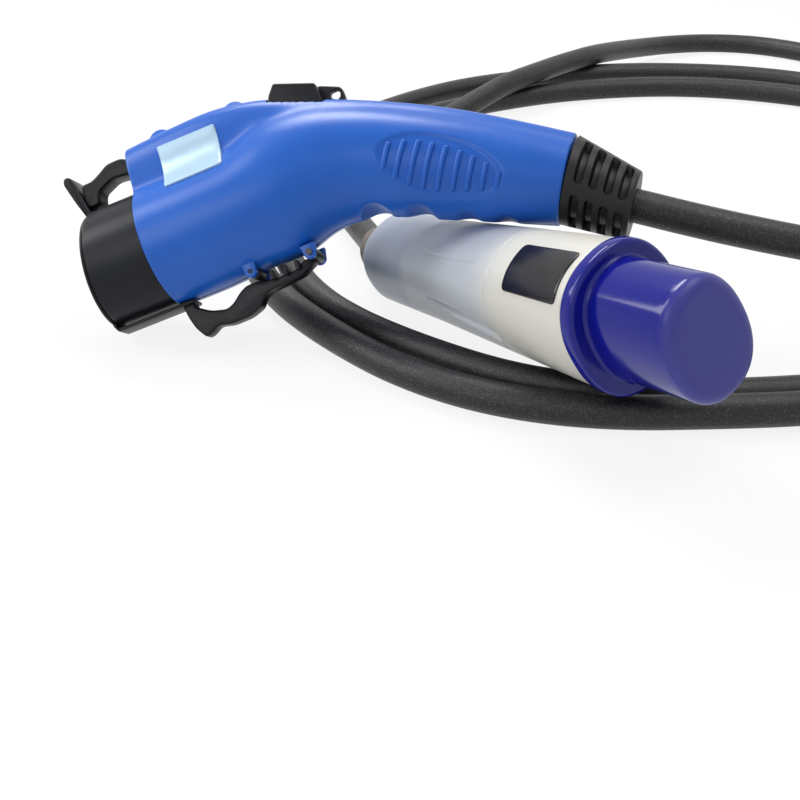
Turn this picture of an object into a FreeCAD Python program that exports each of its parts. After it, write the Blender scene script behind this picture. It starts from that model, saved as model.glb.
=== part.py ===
"""Charging cable for an electric car: a pistol-grip connector, a capped supply plug and the
flexible lead between them, laid on a table with the lead in a loose oval coil.

Units are millimetres. The table is z = 0 and +Z is up. The origin is on the table, under the
middle of the two connectors. The connector is drawn in its own frame (x rearwards, y up,
z to the side that faces the viewer), its head in that frame turned by HEAD_TILT (s along the
nose, t across it), and the plug along its own axis from its rear end.
"""
import FreeCAD, Part
import math
import os

V = FreeCAD.Vector
TAU = 2 * math.pi

# lead
CABLE_D = 11.5
CABLE_R = CABLE_D / 2
COIL_TOP = 11.1

# connector head, round the nose axis
HEAD_TILT = 26.5
NOSE_R = 21.9
NOSE_WALL = 2.3
NOSE_REACH = 24.7
NOSE_TAIL = 16.0
NOSE_SHOULDER = 21.0
NOSE_TAIL_BORE_R = 16.0
SHELL_WALL = 2.2
HEAD_R = 22.4
FIT = 0.1
RUN_FIT = 0.05
CLEAR = 0.35

# contacts: place across the face (t, z), outer radius, bore radius
POWER_AT = ((6.2, 8.0), (6.2, -8.0))
SIGNAL_AT = ((-6.0, 10.6), (-6.0, -10.6))
EARTH_AT = (-11.2, 0.0)
POWER_R, POWER_BORE = 3.0, 1.8
EARTH_R, EARTH_BORE = 2.4, 1.4
SIGNAL_R, SIGNAL_BORE = 1.7, 0.8
INSULATOR_FRONT = 4.0
SEAL_DEPTH = 1.4
SOCKET_FRONT = 5.0
SOCKET_DEPTH = 17.0
SOCKET_REAR = 36.0

# latch lever and its button
LATCH_PIVOT = (41.2, 31.2)
LATCH_PIN_R = 1.5
LATCH_PIN_REACH = 10.4
LATCH_BOSS_R = 3.2
LATCH_BOSS_IN = 6.0
LATCH_BOSS_OUT = 10.8
LEVER_HALF = 5.0
LEVER_POCKET_R = 4.4
LEVER_POCKET_HALF = 2.4
BUTTON_HALF = 7.4
BUTTON_GAP = 0.7
TAB_HALF = 1.5
PADLOCK_AT = (79.5, 70.6)
PADLOCK_R = 1.9
SPRING_WIRE_R = 0.4

# flip cap over the nose
CAP_PIVOT = (77.0, -23.4)
CAP_PIN_R = 1.2
CAP_KNUCKLE_R = 2.7
CAP_KNUCKLE_HALF = 5.0
CAP_ARM_HALF = 5.8
CAP_TAB_HALF = 7.0
LID_R = 21.3
LID_THICK = 2.6
LID_GAP = 0.4
LIFT_TAB_HALF = 6.0
LIFT_TAB_TOP = 36.6
EAR_IN = 5.4
EAR_OUT = 8.6
EAR_R = 3.2
LUG_AT = (55.3, -22.5)
LUG_R = 2.6
LUG_IN = 6.6
LUG_OUT = 9.2
LUG_PIN_R = 1.0

# handle
GRIP_DEPTH = 1.1
GRIP_CENTRE = (122.8, 46.4)
GRIP_TILT = -9.0
GRIP_LONG = 43.5
GRIP_HIGH = 18.6
GRIP_RIBS = 9
GRIP_RIB_PITCH = 4.35
GRIP_RIB_WIDE = 2.2
GRIP_RIB_LEAN = 12.0
FINGER_XS = (96.8, 115.2, 131.6, 146.0)
FINGER_R = 6.0
FINGER_DEPTH = 2.6
FINGER_LINE = 30.0

# badge on the flank of the head: along the nose, across it, thickness
BADGE_S = (38.6, 60.2)
BADGE_T = (17.2, 31.2)
BADGE_THICK = 1.1
BADGE_CORNER = 1.6

# strain relief of the connector
RELIEF_AT = (165.2, 47.0)
RELIEF_FALL = -7.2
RELIEF_LONG = 22.4
RELIEF_R0 = 15.2
RELIEF_R1 = 11.8
RELIEF_NECK_R = 10.5
RELIEF_FLANGE_R = 11.7
RELIEF_SEAT = 5.3
RELIEF_TWIST = 19.0
SLOT_COUNT = 4
SLOT_PITCH = 4.9
SLOT_WIDE = 2.5
SLOT_DEEP = 3.0
SLOT_WEB = 2.3

# screws that close the housing: places in the connector's frame and their size
SCREW_AT = ((58.0, 24.0), (88.0, 36.0), (132.0, 61.0))
SCREW_R = 1.5
SCREW_HEAD_R = 2.7
SCREW_BOSS_R = 3.4

# plug, from its rear end: length along the axis, half width, half height
PLUG_REAR = (0.0, 15.9, 15.9)
PLUG_MID = (46.0, 18.2, 17.4)
PLUG_SEAM = (90.0, 21.7, 19.5)
PLUG_FRONT = (131.6, 24.4, 21.5)
PLUG_WALL = 2.4
PLUG_POWER = 2.3
CAP_FLANGE_LONG = 5.4
CAP_FLANGE_HALF = (25.3, 22.1)
CAP_TUBE_HALF = (20.9, 16.0)
CAP_LONG = 40.6
CAP_EDGE_R = 4.5
CAP_WALL = 1.8
CAP_TRAVEL = 45.0
SHROUD_R = 13.8
SHROUD_LONG = 33.0
SHROUD_BASE = 8.0
PIN_CIRCLE_R = 7.0
PIN_R = 2.4
PIN_LONG = 22.0
BOOT_R0, BOOT_R1 = 11.5, 7.6
BOOT_LONG = 24.0
LABEL_SPAN = (100.2, 128.4)
LABEL_THICK = 0.5
LABEL_FROM, LABEL_TO = 176.5, 220.5

# places on the table: the nose's front centre, and the rear centre of the plug
ORIGIN_SHIFT = (-10.65, 428.2)
GUN_AT = (-108.4, 456.4, 22.2)
GUN_TURN = -14.1
GUN_LEAN = 59.3
PLUG_AT = (-4.6, 491.0, 16.3)
PLUG_TURN = -56.2
PLUG_RISE = 9.3
PLUG_ROLL = -60.0

# coil: extremes of its inner and outer outline, as the turns lie on the table
COIL_OUTER = {"left": (-66.0, 573.0), "rear": (200.6, 899.7), "right": (325.7, 654.4), "front": (76.5, 378.3)}
COIL_INNER = {"left": (-53.5, 588.0), "rear": (153.0, 805.3), "right": (297.0, 613.7), "front": (81.4, 389.9)}

GUN_RUN = [
    (137.0, 423.0, 45.0),
    (190.0, 424.0, 35.5),
    (240.0, 452.0, 27.5),
    (282.0, 502.0, 20.5),
    (303.0, 560.0, 17.6),
    (307.0, 620.0, 17.3),
]
PLUG_RUN = [
    (-40.0, 610.0, 6.0),
    (-26.0, 664.0, 6.0),
    (-2.0, 710.0, 6.0),
    (32.0, 746.0, 6.0),
    (84.0, 779.8, 6.0),
]


def turned(shape, angle):
    """The shape turned about the connector's side axis, from the head's frame to the handle's."""
    out = shape.copy()
    out.rotate(V(0, 0, 0), V(0, 0, 1), angle)
    return out


def head_to_gun(s, t):
    """A point of the head's frame in the connector's frame."""
    a = math.radians(HEAD_TILT)
    return (s * math.cos(a) - t * math.sin(a), s * math.sin(a) + t * math.cos(a))


def tube(radius, length, at, axis):
    return Part.makeCylinder(radius, length, V(*at), V(*axis))


def slab(points, z0, z1):
    """A flat outline in x and y, carried from z0 to z1."""
    wire = Part.makePolygon([V(x, y, z0) for x, y in points] + [V(points[0][0], points[0][1], z0)])
    return Part.Face(wire).extrude(V(0, 0, z1 - z0))


def lathe(points):
    """A closed outline of (along, radius) pairs turned about the x axis."""
    wire = Part.makePolygon([V(x, r, 0) for x, r in points] + [V(points[0][0], points[0][1], 0)])
    return Part.Face(wire).revolve(V(0, 0, 0), V(1, 0, 0), 360)


def closed_curve(points):
    curve = Part.BSplineCurve()
    curve.interpolate(Points=points, PeriodicFlag=True)
    return Part.Wire([curve.toShape()])


def stadium(cx, cy, length, width, tilt, z0, z1):
    """A round-ended slot prism, its long side turned by tilt."""
    half = length / 2 - width / 2
    bar = Part.makeBox(2 * half, width, z1 - z0, V(-half, -width / 2, z0))
    ends = [tube(width / 2, z1 - z0, (side * half, 0, z0), (0, 0, 1)) for side in (-1, 1)]
    out = bar.fuse(ends).removeSplitter()
    out.rotate(V(0, 0, 0), V(0, 0, 1), tilt)
    out.translate(V(cx, cy, 0))
    return out


# Stations of the housing: its lowest and highest point, how far the round part's centre is
# above the lowest point, the round part's half width and upper half height, and the half
# width of the narrow top.
def housing_stations():
    head = [
        ((NOSE_REACH, -HEAD_R), (NOSE_REACH, 37.4), HEAD_R, HEAD_R, HEAD_R, 12.2),
        ((43.0, -22.3), (43.0, 38.5), 22.3, 22.4, 22.4, 12.2),
        ((60.0, -21.2), (60.0, 38.6), 21.6, 22.2, 23.0, 12.0),
    ]
    stations = []
    for low, high, down, half, over, top in head:
        stations.append((head_to_gun(*low), head_to_gun(*high), down, half, over, top))
    stations += [
        ((75.8, 14.2), (52.2, 65.8), 22.5, 21.4, 27.0, 11.6),
        ((85.6, 22.8), (68.6, 67.2), 22.0, 19.6, 23.2, 10.6),
        ((95.6, 27.8), (84.8, 68.2), 20.6, 18.2, 19.8, 9.6),
        ((107.4, 29.8), (101.2, 68.6), 19.4, 17.5, 18.4, 8.6),
        ((123.6, 30.2), (119.8, 68.0), 18.6, 17.2, 17.8, 8.6),
        ((142.0, 30.4), (139.0, 66.0), 17.8, 16.6, 16.8, 8.4),
        ((163.2, 30.4), (166.0, 62.2), 16.2, 15.8, 14.6, 8.0),
    ]
    return stations


def flat(station):
    """The station as one list of numbers."""
    return [*station[0], *station[1], *station[2:]]


def between(before, start, end, after):
    """The station halfway between two others, on the smooth curve through their neighbours."""
    rows = zip(flat(before), flat(start), flat(end), flat(after))
    values = [(9 * (b + c) - a - d) / 16 for a, b, c, d in rows]
    return (tuple(values[0:2]), tuple(values[2:4])) + tuple(values[4:])


def refined(stations):
    """Twice as many stations, so that straight pieces between them follow the curve."""
    out = []
    last = len(stations) - 1
    for i in range(last):
        before, after = stations[max(i - 1, 0)], stations[min(i + 2, last)]
        out += [stations[i], between(before, stations[i], stations[i + 1], after)]
    return out + [stations[last]]


def section(station, inset, count=32):
    """One section of the housing: a round part and a narrow top, melted into each other."""
    low, high, down, half, over, top = station
    rise = V(high[0] - low[0], high[1] - low[1], 0)
    height = rise.Length
    rise.normalize()
    centre = V(low[0], low[1], 0) + rise * down
    reach = height - down
    points = []
    for i in range(count):
        angle = TAU * i / count
        side, up = math.cos(angle), math.sin(angle)
        tall = (over if up > 0 else down) - inset
        round_r = 1 / math.hypot(side / (half - inset), up / tall)
        crown = (reach if up > 0 else 0.6 * down) - inset
        narrow_r = ((abs(side) / (top - inset)) ** 4 + (abs(up) / crown) ** 4) ** -0.25
        radius = (round_r ** 16 + narrow_r ** 16) ** (1 / 16)
        points.append(centre + rise * (radius * up) + V(0, 0, radius * side))
    return closed_curve(points)


def moved(station, step):
    """The station shifted along the housing by step."""
    low, high = station[0], station[1]
    rise = V(high[0] - low[0], high[1] - low[1], 0)
    along = V(rise.y, -rise.x, 0).normalize() * step
    low, high = (low[0] + along.x, low[1] + along.y), (high[0] + along.x, high[1] + along.y)
    return (low, high) + tuple(station[2:])


def housing_loft(inset, front=0.0, rear=0.0):
    stations = refined(housing_stations())
    stations[0] = moved(stations[0], -front)
    stations[-1] = moved(stations[-1], -rear)
    return Part.makeLoft([section(s, inset) for s in stations], True, True)


def largest(shape):
    return max(shape.Solids, key=lambda solid: solid.Volume)


def half_space(side):
    """A large block on one side of the parting plane."""
    size = 400.0
    return Part.makeBox(size, size, size, V(-size / 2, -size / 2, 0 if side > 0 else -size))


def relief_frame(shape):
    """A shape drawn along +x from the origin, set on the handle's rear end."""
    out = shape.copy()
    out.rotate(V(0, 0, 0), V(0, 0, 1), RELIEF_FALL)
    out.translate(V(RELIEF_AT[0], RELIEF_AT[1], 0))
    return out


def grip_cutter(floor):
    """What is taken off down to the oval grip's floor, with its raised ribs left standing."""
    depth = 30.0
    oval = Part.makeCylinder(1.0, 2 * depth, V(0, 0, -depth))
    stretch = FreeCAD.Matrix()
    stretch.scale(GRIP_LONG / 2, GRIP_HIGH / 2, 1)
    oval = oval.transformGeometry(stretch)
    oval.rotate(V(0, 0, 0), V(0, 0, 1), GRIP_TILT)
    oval.translate(V(GRIP_CENTRE[0], GRIP_CENTRE[1], 0))
    ribs = []
    for i in range(GRIP_RIBS):
        along = (i - (GRIP_RIBS - 1) / 2) * GRIP_RIB_PITCH
        share = along / (GRIP_LONG / 2)
        tall = max(GRIP_HIGH * math.sqrt(1 - share * share) - 3.4, 5.0)
        tilt = math.radians(GRIP_TILT)
        x = GRIP_CENTRE[0] + along * math.cos(tilt)
        y = GRIP_CENTRE[1] + along * math.sin(tilt)
        ribs.append(stadium(x, y, tall, GRIP_RIB_WIDE, 90 - GRIP_RIB_LEAN, -depth, depth))
    return oval.cut([floor] + ribs)


def finger_rolls(radius):
    """Rollers across the handle's underside where the fingers lie."""
    middle = FINGER_LINE - FINGER_R + FINGER_DEPTH
    return [tube(radius, 60.0, (x, middle, -30.0), (0, 0, 1)) for x in FINGER_XS]


def head_ears():
    """Lugs under the head: two ears for the flip cap's hinge and two for its spring pin."""
    parts = []
    for side in (-1, 1):
        z0 = EAR_IN if side > 0 else -EAR_OUT
        ear = tube(EAR_R, EAR_OUT - EAR_IN, (CAP_PIVOT[0], CAP_PIVOT[1], z0), (0, 0, 1))
        root = Part.makeBox(2 * EAR_R, 7.0, EAR_OUT - EAR_IN, V(CAP_PIVOT[0] - EAR_R, CAP_PIVOT[1], z0))
        parts.append(turned(ear.fuse(root), HEAD_TILT))
        z0 = LUG_IN if side > 0 else -LUG_OUT
        lug = tube(LUG_R, LUG_OUT - LUG_IN, (LUG_AT[0], LUG_AT[1], z0), (0, 0, 1))
        root = Part.makeBox(2 * LUG_R, 4.0, LUG_OUT - LUG_IN, V(LUG_AT[0] - LUG_R, LUG_AT[1], z0))
        parts.append(turned(lug.fuse(root), HEAD_TILT))
    return parts


def top_bosses():
    """Two low bosses on the crown of the head, across the parting line."""
    out = []
    for s, t in ((37.8, 34.9), (66.6, 33.9)):
        out.append(turned(tube(5.0, 9.0, (s, t, -4.5), (0, 0, 1)), HEAD_TILT))
    return out


def inner_bosses(outer):
    """Bosses inside the housing for the latch pin and the screws, trimmed to the outer skin."""
    bosses = []
    for side in (-1, 1):
        z0 = LATCH_BOSS_IN if side > 0 else -LATCH_BOSS_OUT
        long = LATCH_BOSS_OUT - LATCH_BOSS_IN
        bosses.append(turned(tube(LATCH_BOSS_R, long, (LATCH_PIVOT[0], LATCH_PIVOT[1], z0), (0, 0, 1)), HEAD_TILT))
    for x, y in SCREW_AT:
        bosses.append(tube(SCREW_BOSS_R, 44.0, (x, y, -22.0), (0, 0, 1)).common(outer))
    return bosses


def screw_holes():
    """Clearance through the far half, a pilot in the near half and a counterbore for the head."""
    cuts = []
    for x, y in SCREW_AT:
        cuts.append(tube(SCREW_R, 22.0, (x, y, -12.0), (0, 0, 1)))
        cuts.append(tube(SCREW_HEAD_R + FIT, 18.0, (x, y, -30.0), (0, 0, 1)))
    return cuts


def make_housing():
    outer = housing_loft(0.0)
    inner = housing_loft(SHELL_WALL, front=3.0, rear=4.0)
    body = outer.fuse(top_bosses() + head_ears())
    hollow = inner.cut(inner_bosses(outer) + finger_rolls(FINGER_R + SHELL_WALL))
    neck = relief_frame(tube(RELIEF_NECK_R, 12.0, (-8.0, 0, 0), (1, 0, 0)))
    cuts = [hollow, grip_cutter(housing_loft(GRIP_DEPTH)), neck, button_opening(), pin_holes(), spring_recess()]
    body = body.cut(cuts + finger_rolls(FINGER_R) + screw_holes())
    return largest(body.common(half_space(1))), largest(body.common(half_space(-1)))


def button_opening():
    """The slot in the roof that the button and its padlock tab come up through."""
    half = BUTTON_HALF + BUTTON_GAP
    block = Part.makeBox(18.4, 20.0, 2 * half, V(56.0, 60.0, -half))
    half = TAB_HALF + BUTTON_GAP
    slot = Part.makeBox(14.0, 20.0, 2 * half, V(73.0, 60.0, -half))
    return block.fuse(slot)


def pin_holes():
    """Holes for the latch pin, the flip cap's hinge pin and its spring pin."""
    holes = []
    for at, radius, reach in (
        (LATCH_PIVOT, LATCH_PIN_R, LATCH_PIN_REACH),
        (CAP_PIVOT, CAP_PIN_R, EAR_OUT + 1),
        (LUG_AT, LUG_PIN_R, LUG_OUT + 1),
    ):
        holes.append(turned(tube(radius, 2 * reach, (at[0], at[1], -reach), (0, 0, 1)), HEAD_TILT))
    return holes[0].fuse(holes[1:])


def spring_recess():
    """A shallow trough in the head's underside over the flip cap's spring."""
    radius = LUG_PIN_R + 1.2
    return turned(tube(radius, 8.8, (LUG_AT[0], LUG_AT[1], -4.4), (0, 0, 1)), HEAD_TILT)


def make_nose():
    tail_r = HEAD_R - SHELL_WALL - 2 * FIT
    end = NOSE_REACH + NOSE_TAIL
    bore = NOSE_R - NOSE_WALL
    edge = 0.8
    nose = lathe([
        (0, bore), (0, NOSE_R - edge), (edge, NOSE_R), (NOSE_REACH, NOSE_R), (NOSE_REACH, tail_r),
        (end, tail_r), (end, NOSE_TAIL_BORE_R), (NOSE_SHOULDER, NOSE_TAIL_BORE_R), (NOSE_SHOULDER, bore),
    ])
    return turned(nose, HEAD_TILT)


def contact_places():
    places = [(at, POWER_R, POWER_BORE) for at in POWER_AT]
    places.append((EARTH_AT, EARTH_R, EARTH_BORE))
    places += [(at, SIGNAL_R, SIGNAL_BORE) for at in SIGNAL_AT]
    return places


def make_insulator():
    radius = NOSE_R - NOSE_WALL - FIT
    block = tube(radius, NOSE_SHOULDER - INSULATOR_FRONT, (INSULATOR_FRONT, 0, 0), (1, 0, 0))
    holes = [
        tube(outer + RUN_FIT, NOSE_SHOULDER, (0, at[0], at[1]), (1, 0, 0)) for at, outer, _ in contact_places()
    ]
    return turned(block.cut(holes), HEAD_TILT)


def make_seal():
    radius = NOSE_R - NOSE_WALL - FIT
    ring = tube(radius, SEAL_DEPTH, (INSULATOR_FRONT - SEAL_DEPTH, 0, 0), (1, 0, 0))
    ring = ring.cut(tube(radius - 1.8, SEAL_DEPTH, (INSULATOR_FRONT - SEAL_DEPTH, 0, 0), (1, 0, 0)))
    return turned(ring, HEAD_TILT)


def make_socket(at, outer, bore):
    """One contact socket: a bored barrel with a solid crimp tail."""
    barrel = tube(outer, SOCKET_REAR - SOCKET_FRONT, (SOCKET_FRONT, at[0], at[1]), (1, 0, 0))
    hole = tube(bore, SOCKET_DEPTH, (SOCKET_FRONT, at[0], at[1]), (1, 0, 0))
    return turned(barrel.cut(hole), HEAD_TILT)


def make_lever():
    """Latch arm: claw in front of the housing, pivot inside it, tail under the button."""
    outline = [
        (2.6, 32.2), (2.6, 23.4), (4.4, 22.6), (8.6, 22.9), (10.2, 27.6), (16.4, 29.6), (30.0, 28.2),
        (41.2, 26.4), (60.0, 22.4), (89.0, 19.0), (89.0, 23.2), (64.0, 28.0), (41.2, 34.0),
        (24.6, 32.4), (21.8, 34.8), (15.4, 35.4), (11.8, 33.8), (8.0, 32.2),
    ]
    arm = slab(outline, -LEVER_HALF, LEVER_HALF)
    x, y = LATCH_PIVOT
    bore = tube(LATCH_PIN_R + RUN_FIT, 2 * LEVER_HALF, (x, y, -LEVER_HALF), (0, 0, 1))
    pocket = tube(LEVER_POCKET_R, 2 * LEVER_POCKET_HALF, (x, y, -LEVER_POCKET_HALF), (0, 0, 1))
    return turned(arm.cut([bore, pocket]), HEAD_TILT)


def make_button():
    """Button block with sloped ends on the lever's tail, and the tab for a padlock behind it."""
    foot0, foot1 = head_to_gun(72.0, 26.464), head_to_gun(84.0, 24.16)
    block = [foot0, foot1, (72.2, 64.0), (72.8, 66.8), (68.6, 72.4), (57.7, 71.4), (56.9, 66.8), (57.3, 60.0)]
    body = slab(block, -BUTTON_HALF, BUTTON_HALF)
    tab = [(66.0, 65.0), (84.0, 65.0), (83.6, 69.0), (81.2, 73.4), (70.0, 73.4), (66.0, 71.0)]
    plate = slab(tab, -TAB_HALF, TAB_HALF)
    hole = tube(PADLOCK_R, 2 * TAB_HALF, (PADLOCK_AT[0], PADLOCK_AT[1], -TAB_HALF), (0, 0, 1))
    return body.fuse(plate).cut(hole)


def make_pin(at, radius, reach):
    return turned(tube(radius, 2 * reach, (at[0], at[1], -reach), (0, 0, 1)), HEAD_TILT)


def make_spring(at, coil_r, length, turns, z0):
    """A wound torsion spring of square wire round a pin."""
    helix = Part.makeHelix(length / turns, length, coil_r)
    half = SPRING_WIRE_R
    corners = [V(coil_r + a * half, 0, b * half) for a, b in ((-1, -1), (1, -1), (1, 1), (-1, 1), (-1, -1))]
    start = Part.makePolygon(corners)
    coil = Part.Wire(helix.Edges).makePipeShell([start], True, True)
    coil.translate(V(at[0], at[1], z0))
    return turned(coil, HEAD_TILT)


def make_flip_cap():
    """Lid over the nose, lift tab, arm under the nose, thumb tab and ribbed hinge end."""
    front = -LID_GAP - LID_THICK
    edge = 0.9
    lid = lathe([
        (front, 0), (front, LID_R - edge), (front + edge, LID_R), (-LID_GAP, LID_R), (-LID_GAP, 0),
    ])
    tab = slab([
        (front, 17.0), (front - 0.8, 26.0), (front - 1.6, 35.4), (front - 0.6, LIFT_TAB_TOP),
        (front + 1.6, LIFT_TAB_TOP - 0.2), (front + 2.2, 30.0), (-LID_GAP, 22.0), (-LID_GAP, 17.0),
    ], -LIFT_TAB_HALF, LIFT_TAB_HALF)
    under = -(HEAD_R + CLEAR)
    arm = slab([
        (front, -19.0), (-LID_GAP, -19.0), (-LID_GAP, under), (31.2, under), (31.2, under - 1.3),
        (-1.0, under - 1.3), (front, -21.5),
    ], -CAP_ARM_HALF, CAP_ARM_HALF)
    thumb = slab([
        (24.9, under), (31.2, under), (32.0, -26.0), (41.4, -29.9), (44.8, -29.3), (48.7, -27.0),
        (53.1, -25.2), (53.1, -33.2), (46.6, -34.5), (41.0, -34.7), (37.2, -33.3), (33.2, -35.0),
        (30.6, -35.9), (29.3, -34.9), (26.5, -29.6), (26.2, -24.6),
    ], -CAP_TAB_HALF, CAP_TAB_HALF)
    rail = slab([
        (48.7, -27.0), (53.5, -25.2), (62.7, -26.2), (70.4, -26.2), (74.4, -23.4), (77.0, -26.1),
        (71.0, -30.0), (67.6, -30.4), (57.0, -29.2), (48.7, -29.6),
    ], -CAP_KNUCKLE_HALF, CAP_KNUCKLE_HALF)
    ribs = [slab([(s, -26.4), (s, -23.4), (s + 1.4, -23.6), (s + 1.4, -26.4)], -CAP_KNUCKLE_HALF, CAP_KNUCKLE_HALF)
            for s in (60.5, 65.5, 70.0)]
    x, y = CAP_PIVOT
    knuckle = tube(CAP_KNUCKLE_R, 2 * CAP_KNUCKLE_HALF, (x, y, -CAP_KNUCKLE_HALF), (0, 0, 1))
    bore = tube(CAP_PIN_R + RUN_FIT, 2 * CAP_KNUCKLE_HALF, (x, y, -CAP_KNUCKLE_HALF), (0, 0, 1))
    return turned(lid.fuse([tab, arm, thumb, rail, knuckle] + ribs).cut(bore), HEAD_TILT)


def make_badge(outer):
    """Blank plate let a little way into the flank of the head."""
    width = BADGE_S[1] - BADGE_S[0]
    height = BADGE_T[1] - BADGE_T[0]
    block = Part.makeBox(width, height, 30.0, V(BADGE_S[0], BADGE_T[0], 0.0))
    upright = [e for e in block.Edges if abs(e.tangentAt(e.FirstParameter).z) > 0.9]
    block = turned(block.makeFillet(BADGE_CORNER, upright), HEAD_TILT)
    proud = housing_loft(-BADGE_THICK)
    return proud.cut(outer).common(block)


def make_relief():
    """Tapered strain relief with two rows of slots, and the flange that holds it in the housing."""
    neck_end = -RELIEF_SEAT
    body = lathe([
        (0, 0), (0, RELIEF_R0), (RELIEF_LONG - 0.6, RELIEF_R1 + 0.1), (RELIEF_LONG, RELIEF_R1 - 0.5), (RELIEF_LONG, 0),
    ])
    neck = tube(RELIEF_NECK_R - FIT, -neck_end + 4.0, (neck_end - 4.0, 0, 0), (1, 0, 0))
    flange = tube(RELIEF_FLANGE_R, 3.0, (neck_end - 3.0, 0, 0), (1, 0, 0))
    body = body.fuse([neck, flange])
    body = body.cut(tube(CABLE_R, RELIEF_LONG + 20.0, (-12.0, 0, 0), (1, 0, 0)))
    rings = []
    for i in range(SLOT_COUNT):
        x = 2.9 + i * SLOT_PITCH
        radius = RELIEF_R0 + (RELIEF_R1 - RELIEF_R0) * (x + SLOT_WIDE / 2) / RELIEF_LONG
        ring = tube(RELIEF_R0 + 2, SLOT_WIDE, (x, 0, 0), (1, 0, 0))
        ring = ring.cut(tube(radius - SLOT_DEEP, SLOT_WIDE, (x, 0, 0), (1, 0, 0)))
        upright = Part.makeBox(SLOT_WIDE, 2 * SLOT_WEB, 60.0, V(x, -SLOT_WEB, -30.0))
        level = Part.makeBox(SLOT_WIDE, 60.0, 2 * SLOT_WEB, V(x, -30.0, -SLOT_WEB))
        rings.append(ring.cut([upright, level]))
    body = body.cut(rings)
    body.rotate(V(0, 0, 0), V(1, 0, 0), RELIEF_TWIST)
    return relief_frame(body)


def make_clamp():
    """Two-sided cable clamp inside the handle, ahead of the strain relief."""
    block = Part.makeBox(12.0, 17.6, 17.6, V(-24.0, -8.8, -8.8))
    block = block.cut(tube(CABLE_R, 14.0, (-25.0, 0, 0), (1, 0, 0)))
    screws = [tube(1.0, 20.0, (-18.0, side * 7.3, -10.0), (0, 0, 1)) for side in (-1, 1)]
    return relief_frame(block.cut(screws))


def make_screws():
    """Housing screws, all alike: head in the far half, thread in the near half."""
    screws = []
    for x, y in SCREW_AT:
        shank = tube(SCREW_R - FIT, 21.0, (x, y, -13.0), (0, 0, 1))
        head = tube(SCREW_HEAD_R, 2.2, (x, y, -14.2), (0, 0, 1))
        cross = Part.makeBox(3.4, 0.8, 1.0, V(x - 1.7, y - 0.4, -14.2))
        cross = cross.fuse(Part.makeBox(0.8, 3.4, 1.0, V(x - 0.4, y - 1.7, -14.2)))
        screws.append(shank.fuse(head).cut(cross))
    return Part.makeCompound(screws)


def plug_ring(x, half_wide, half_high, count=24):
    """A rounded section of the plug, a little flatter than a circle on four sides."""
    points = []
    for i in range(count):
        angle = TAU * i / count
        c, s = math.cos(angle), math.sin(angle)
        radius = (abs(c / half_wide) ** PLUG_POWER + abs(s / half_high) ** PLUG_POWER) ** (-1 / PLUG_POWER)
        points.append(V(x, radius * c, radius * s))
    return closed_curve(points)


def plug_loft(stations):
    """Straight flanks between rounded sections along the plug's axis."""
    return Part.makeLoft([plug_ring(*station) for station in stations], True, True)


def shrunk(station, wall, shift=0.0):
    return (station[0] + shift, station[1] - wall, station[2] - wall)


def make_plug_body():
    stations = [PLUG_REAR, PLUG_MID, PLUG_SEAM]
    outer = plug_loft(stations)
    inner = plug_loft([shrunk(PLUG_REAR, PLUG_WALL, 4.0)] + [shrunk(s, PLUG_WALL) for s in stations[1:]])
    gland = tube(BOOT_R1, 8.0, (-2.0, 0, 0), (1, 0, 0))
    return outer.cut([inner, gland])


def make_plug_collar():
    stations = [PLUG_SEAM, PLUG_FRONT]
    return plug_loft(stations).cut(plug_loft([shrunk(s, PLUG_WALL) for s in stations]))


def make_pin_carrier():
    """Block in the collar's mouth that holds the pins, with the round shroud in front of it."""
    x0 = PLUG_FRONT[0] - SHROUD_BASE
    behind = [a + (b - a) * (x0 - PLUG_SEAM[0]) / (PLUG_FRONT[0] - PLUG_SEAM[0]) for a, b in zip(PLUG_SEAM, PLUG_FRONT)]
    base = plug_loft([shrunk(behind, PLUG_WALL + FIT), shrunk(PLUG_FRONT, PLUG_WALL + FIT)])
    shroud = tube(SHROUD_R, SHROUD_LONG, (PLUG_FRONT[0], 0, 0), (1, 0, 0))
    shroud = shroud.cut(tube(SHROUD_R - 2.0, SHROUD_LONG, (PLUG_FRONT[0], 0, 0), (1, 0, 0)))
    holes = [tube(PIN_R + RUN_FIT, 2 * SHROUD_BASE, (x0 - 1, y, z), (1, 0, 0)) for y, z in pin_places()]
    return base.fuse(shroud).cut(holes)


def pin_places():
    return [(PIN_CIRCLE_R * math.cos(a), PIN_CIRCLE_R * math.sin(a)) for a in (TAU / 4, TAU * 7 / 12, TAU * 11 / 12)]


def make_plug_pins():
    """Three round pins, all alike, with rounded tips."""
    x0 = PLUG_FRONT[0] - SHROUD_BASE - 6.0
    pins = []
    for y, z in pin_places():
        long = SHROUD_BASE + 6.0 + PIN_LONG - PIN_R
        shaft = tube(PIN_R, long, (x0, y, z), (1, 0, 0))
        pins.append(shaft.fuse(Part.makeSphere(PIN_R, V(x0 + long, y, z))))
    return Part.makeCompound(pins)


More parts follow.
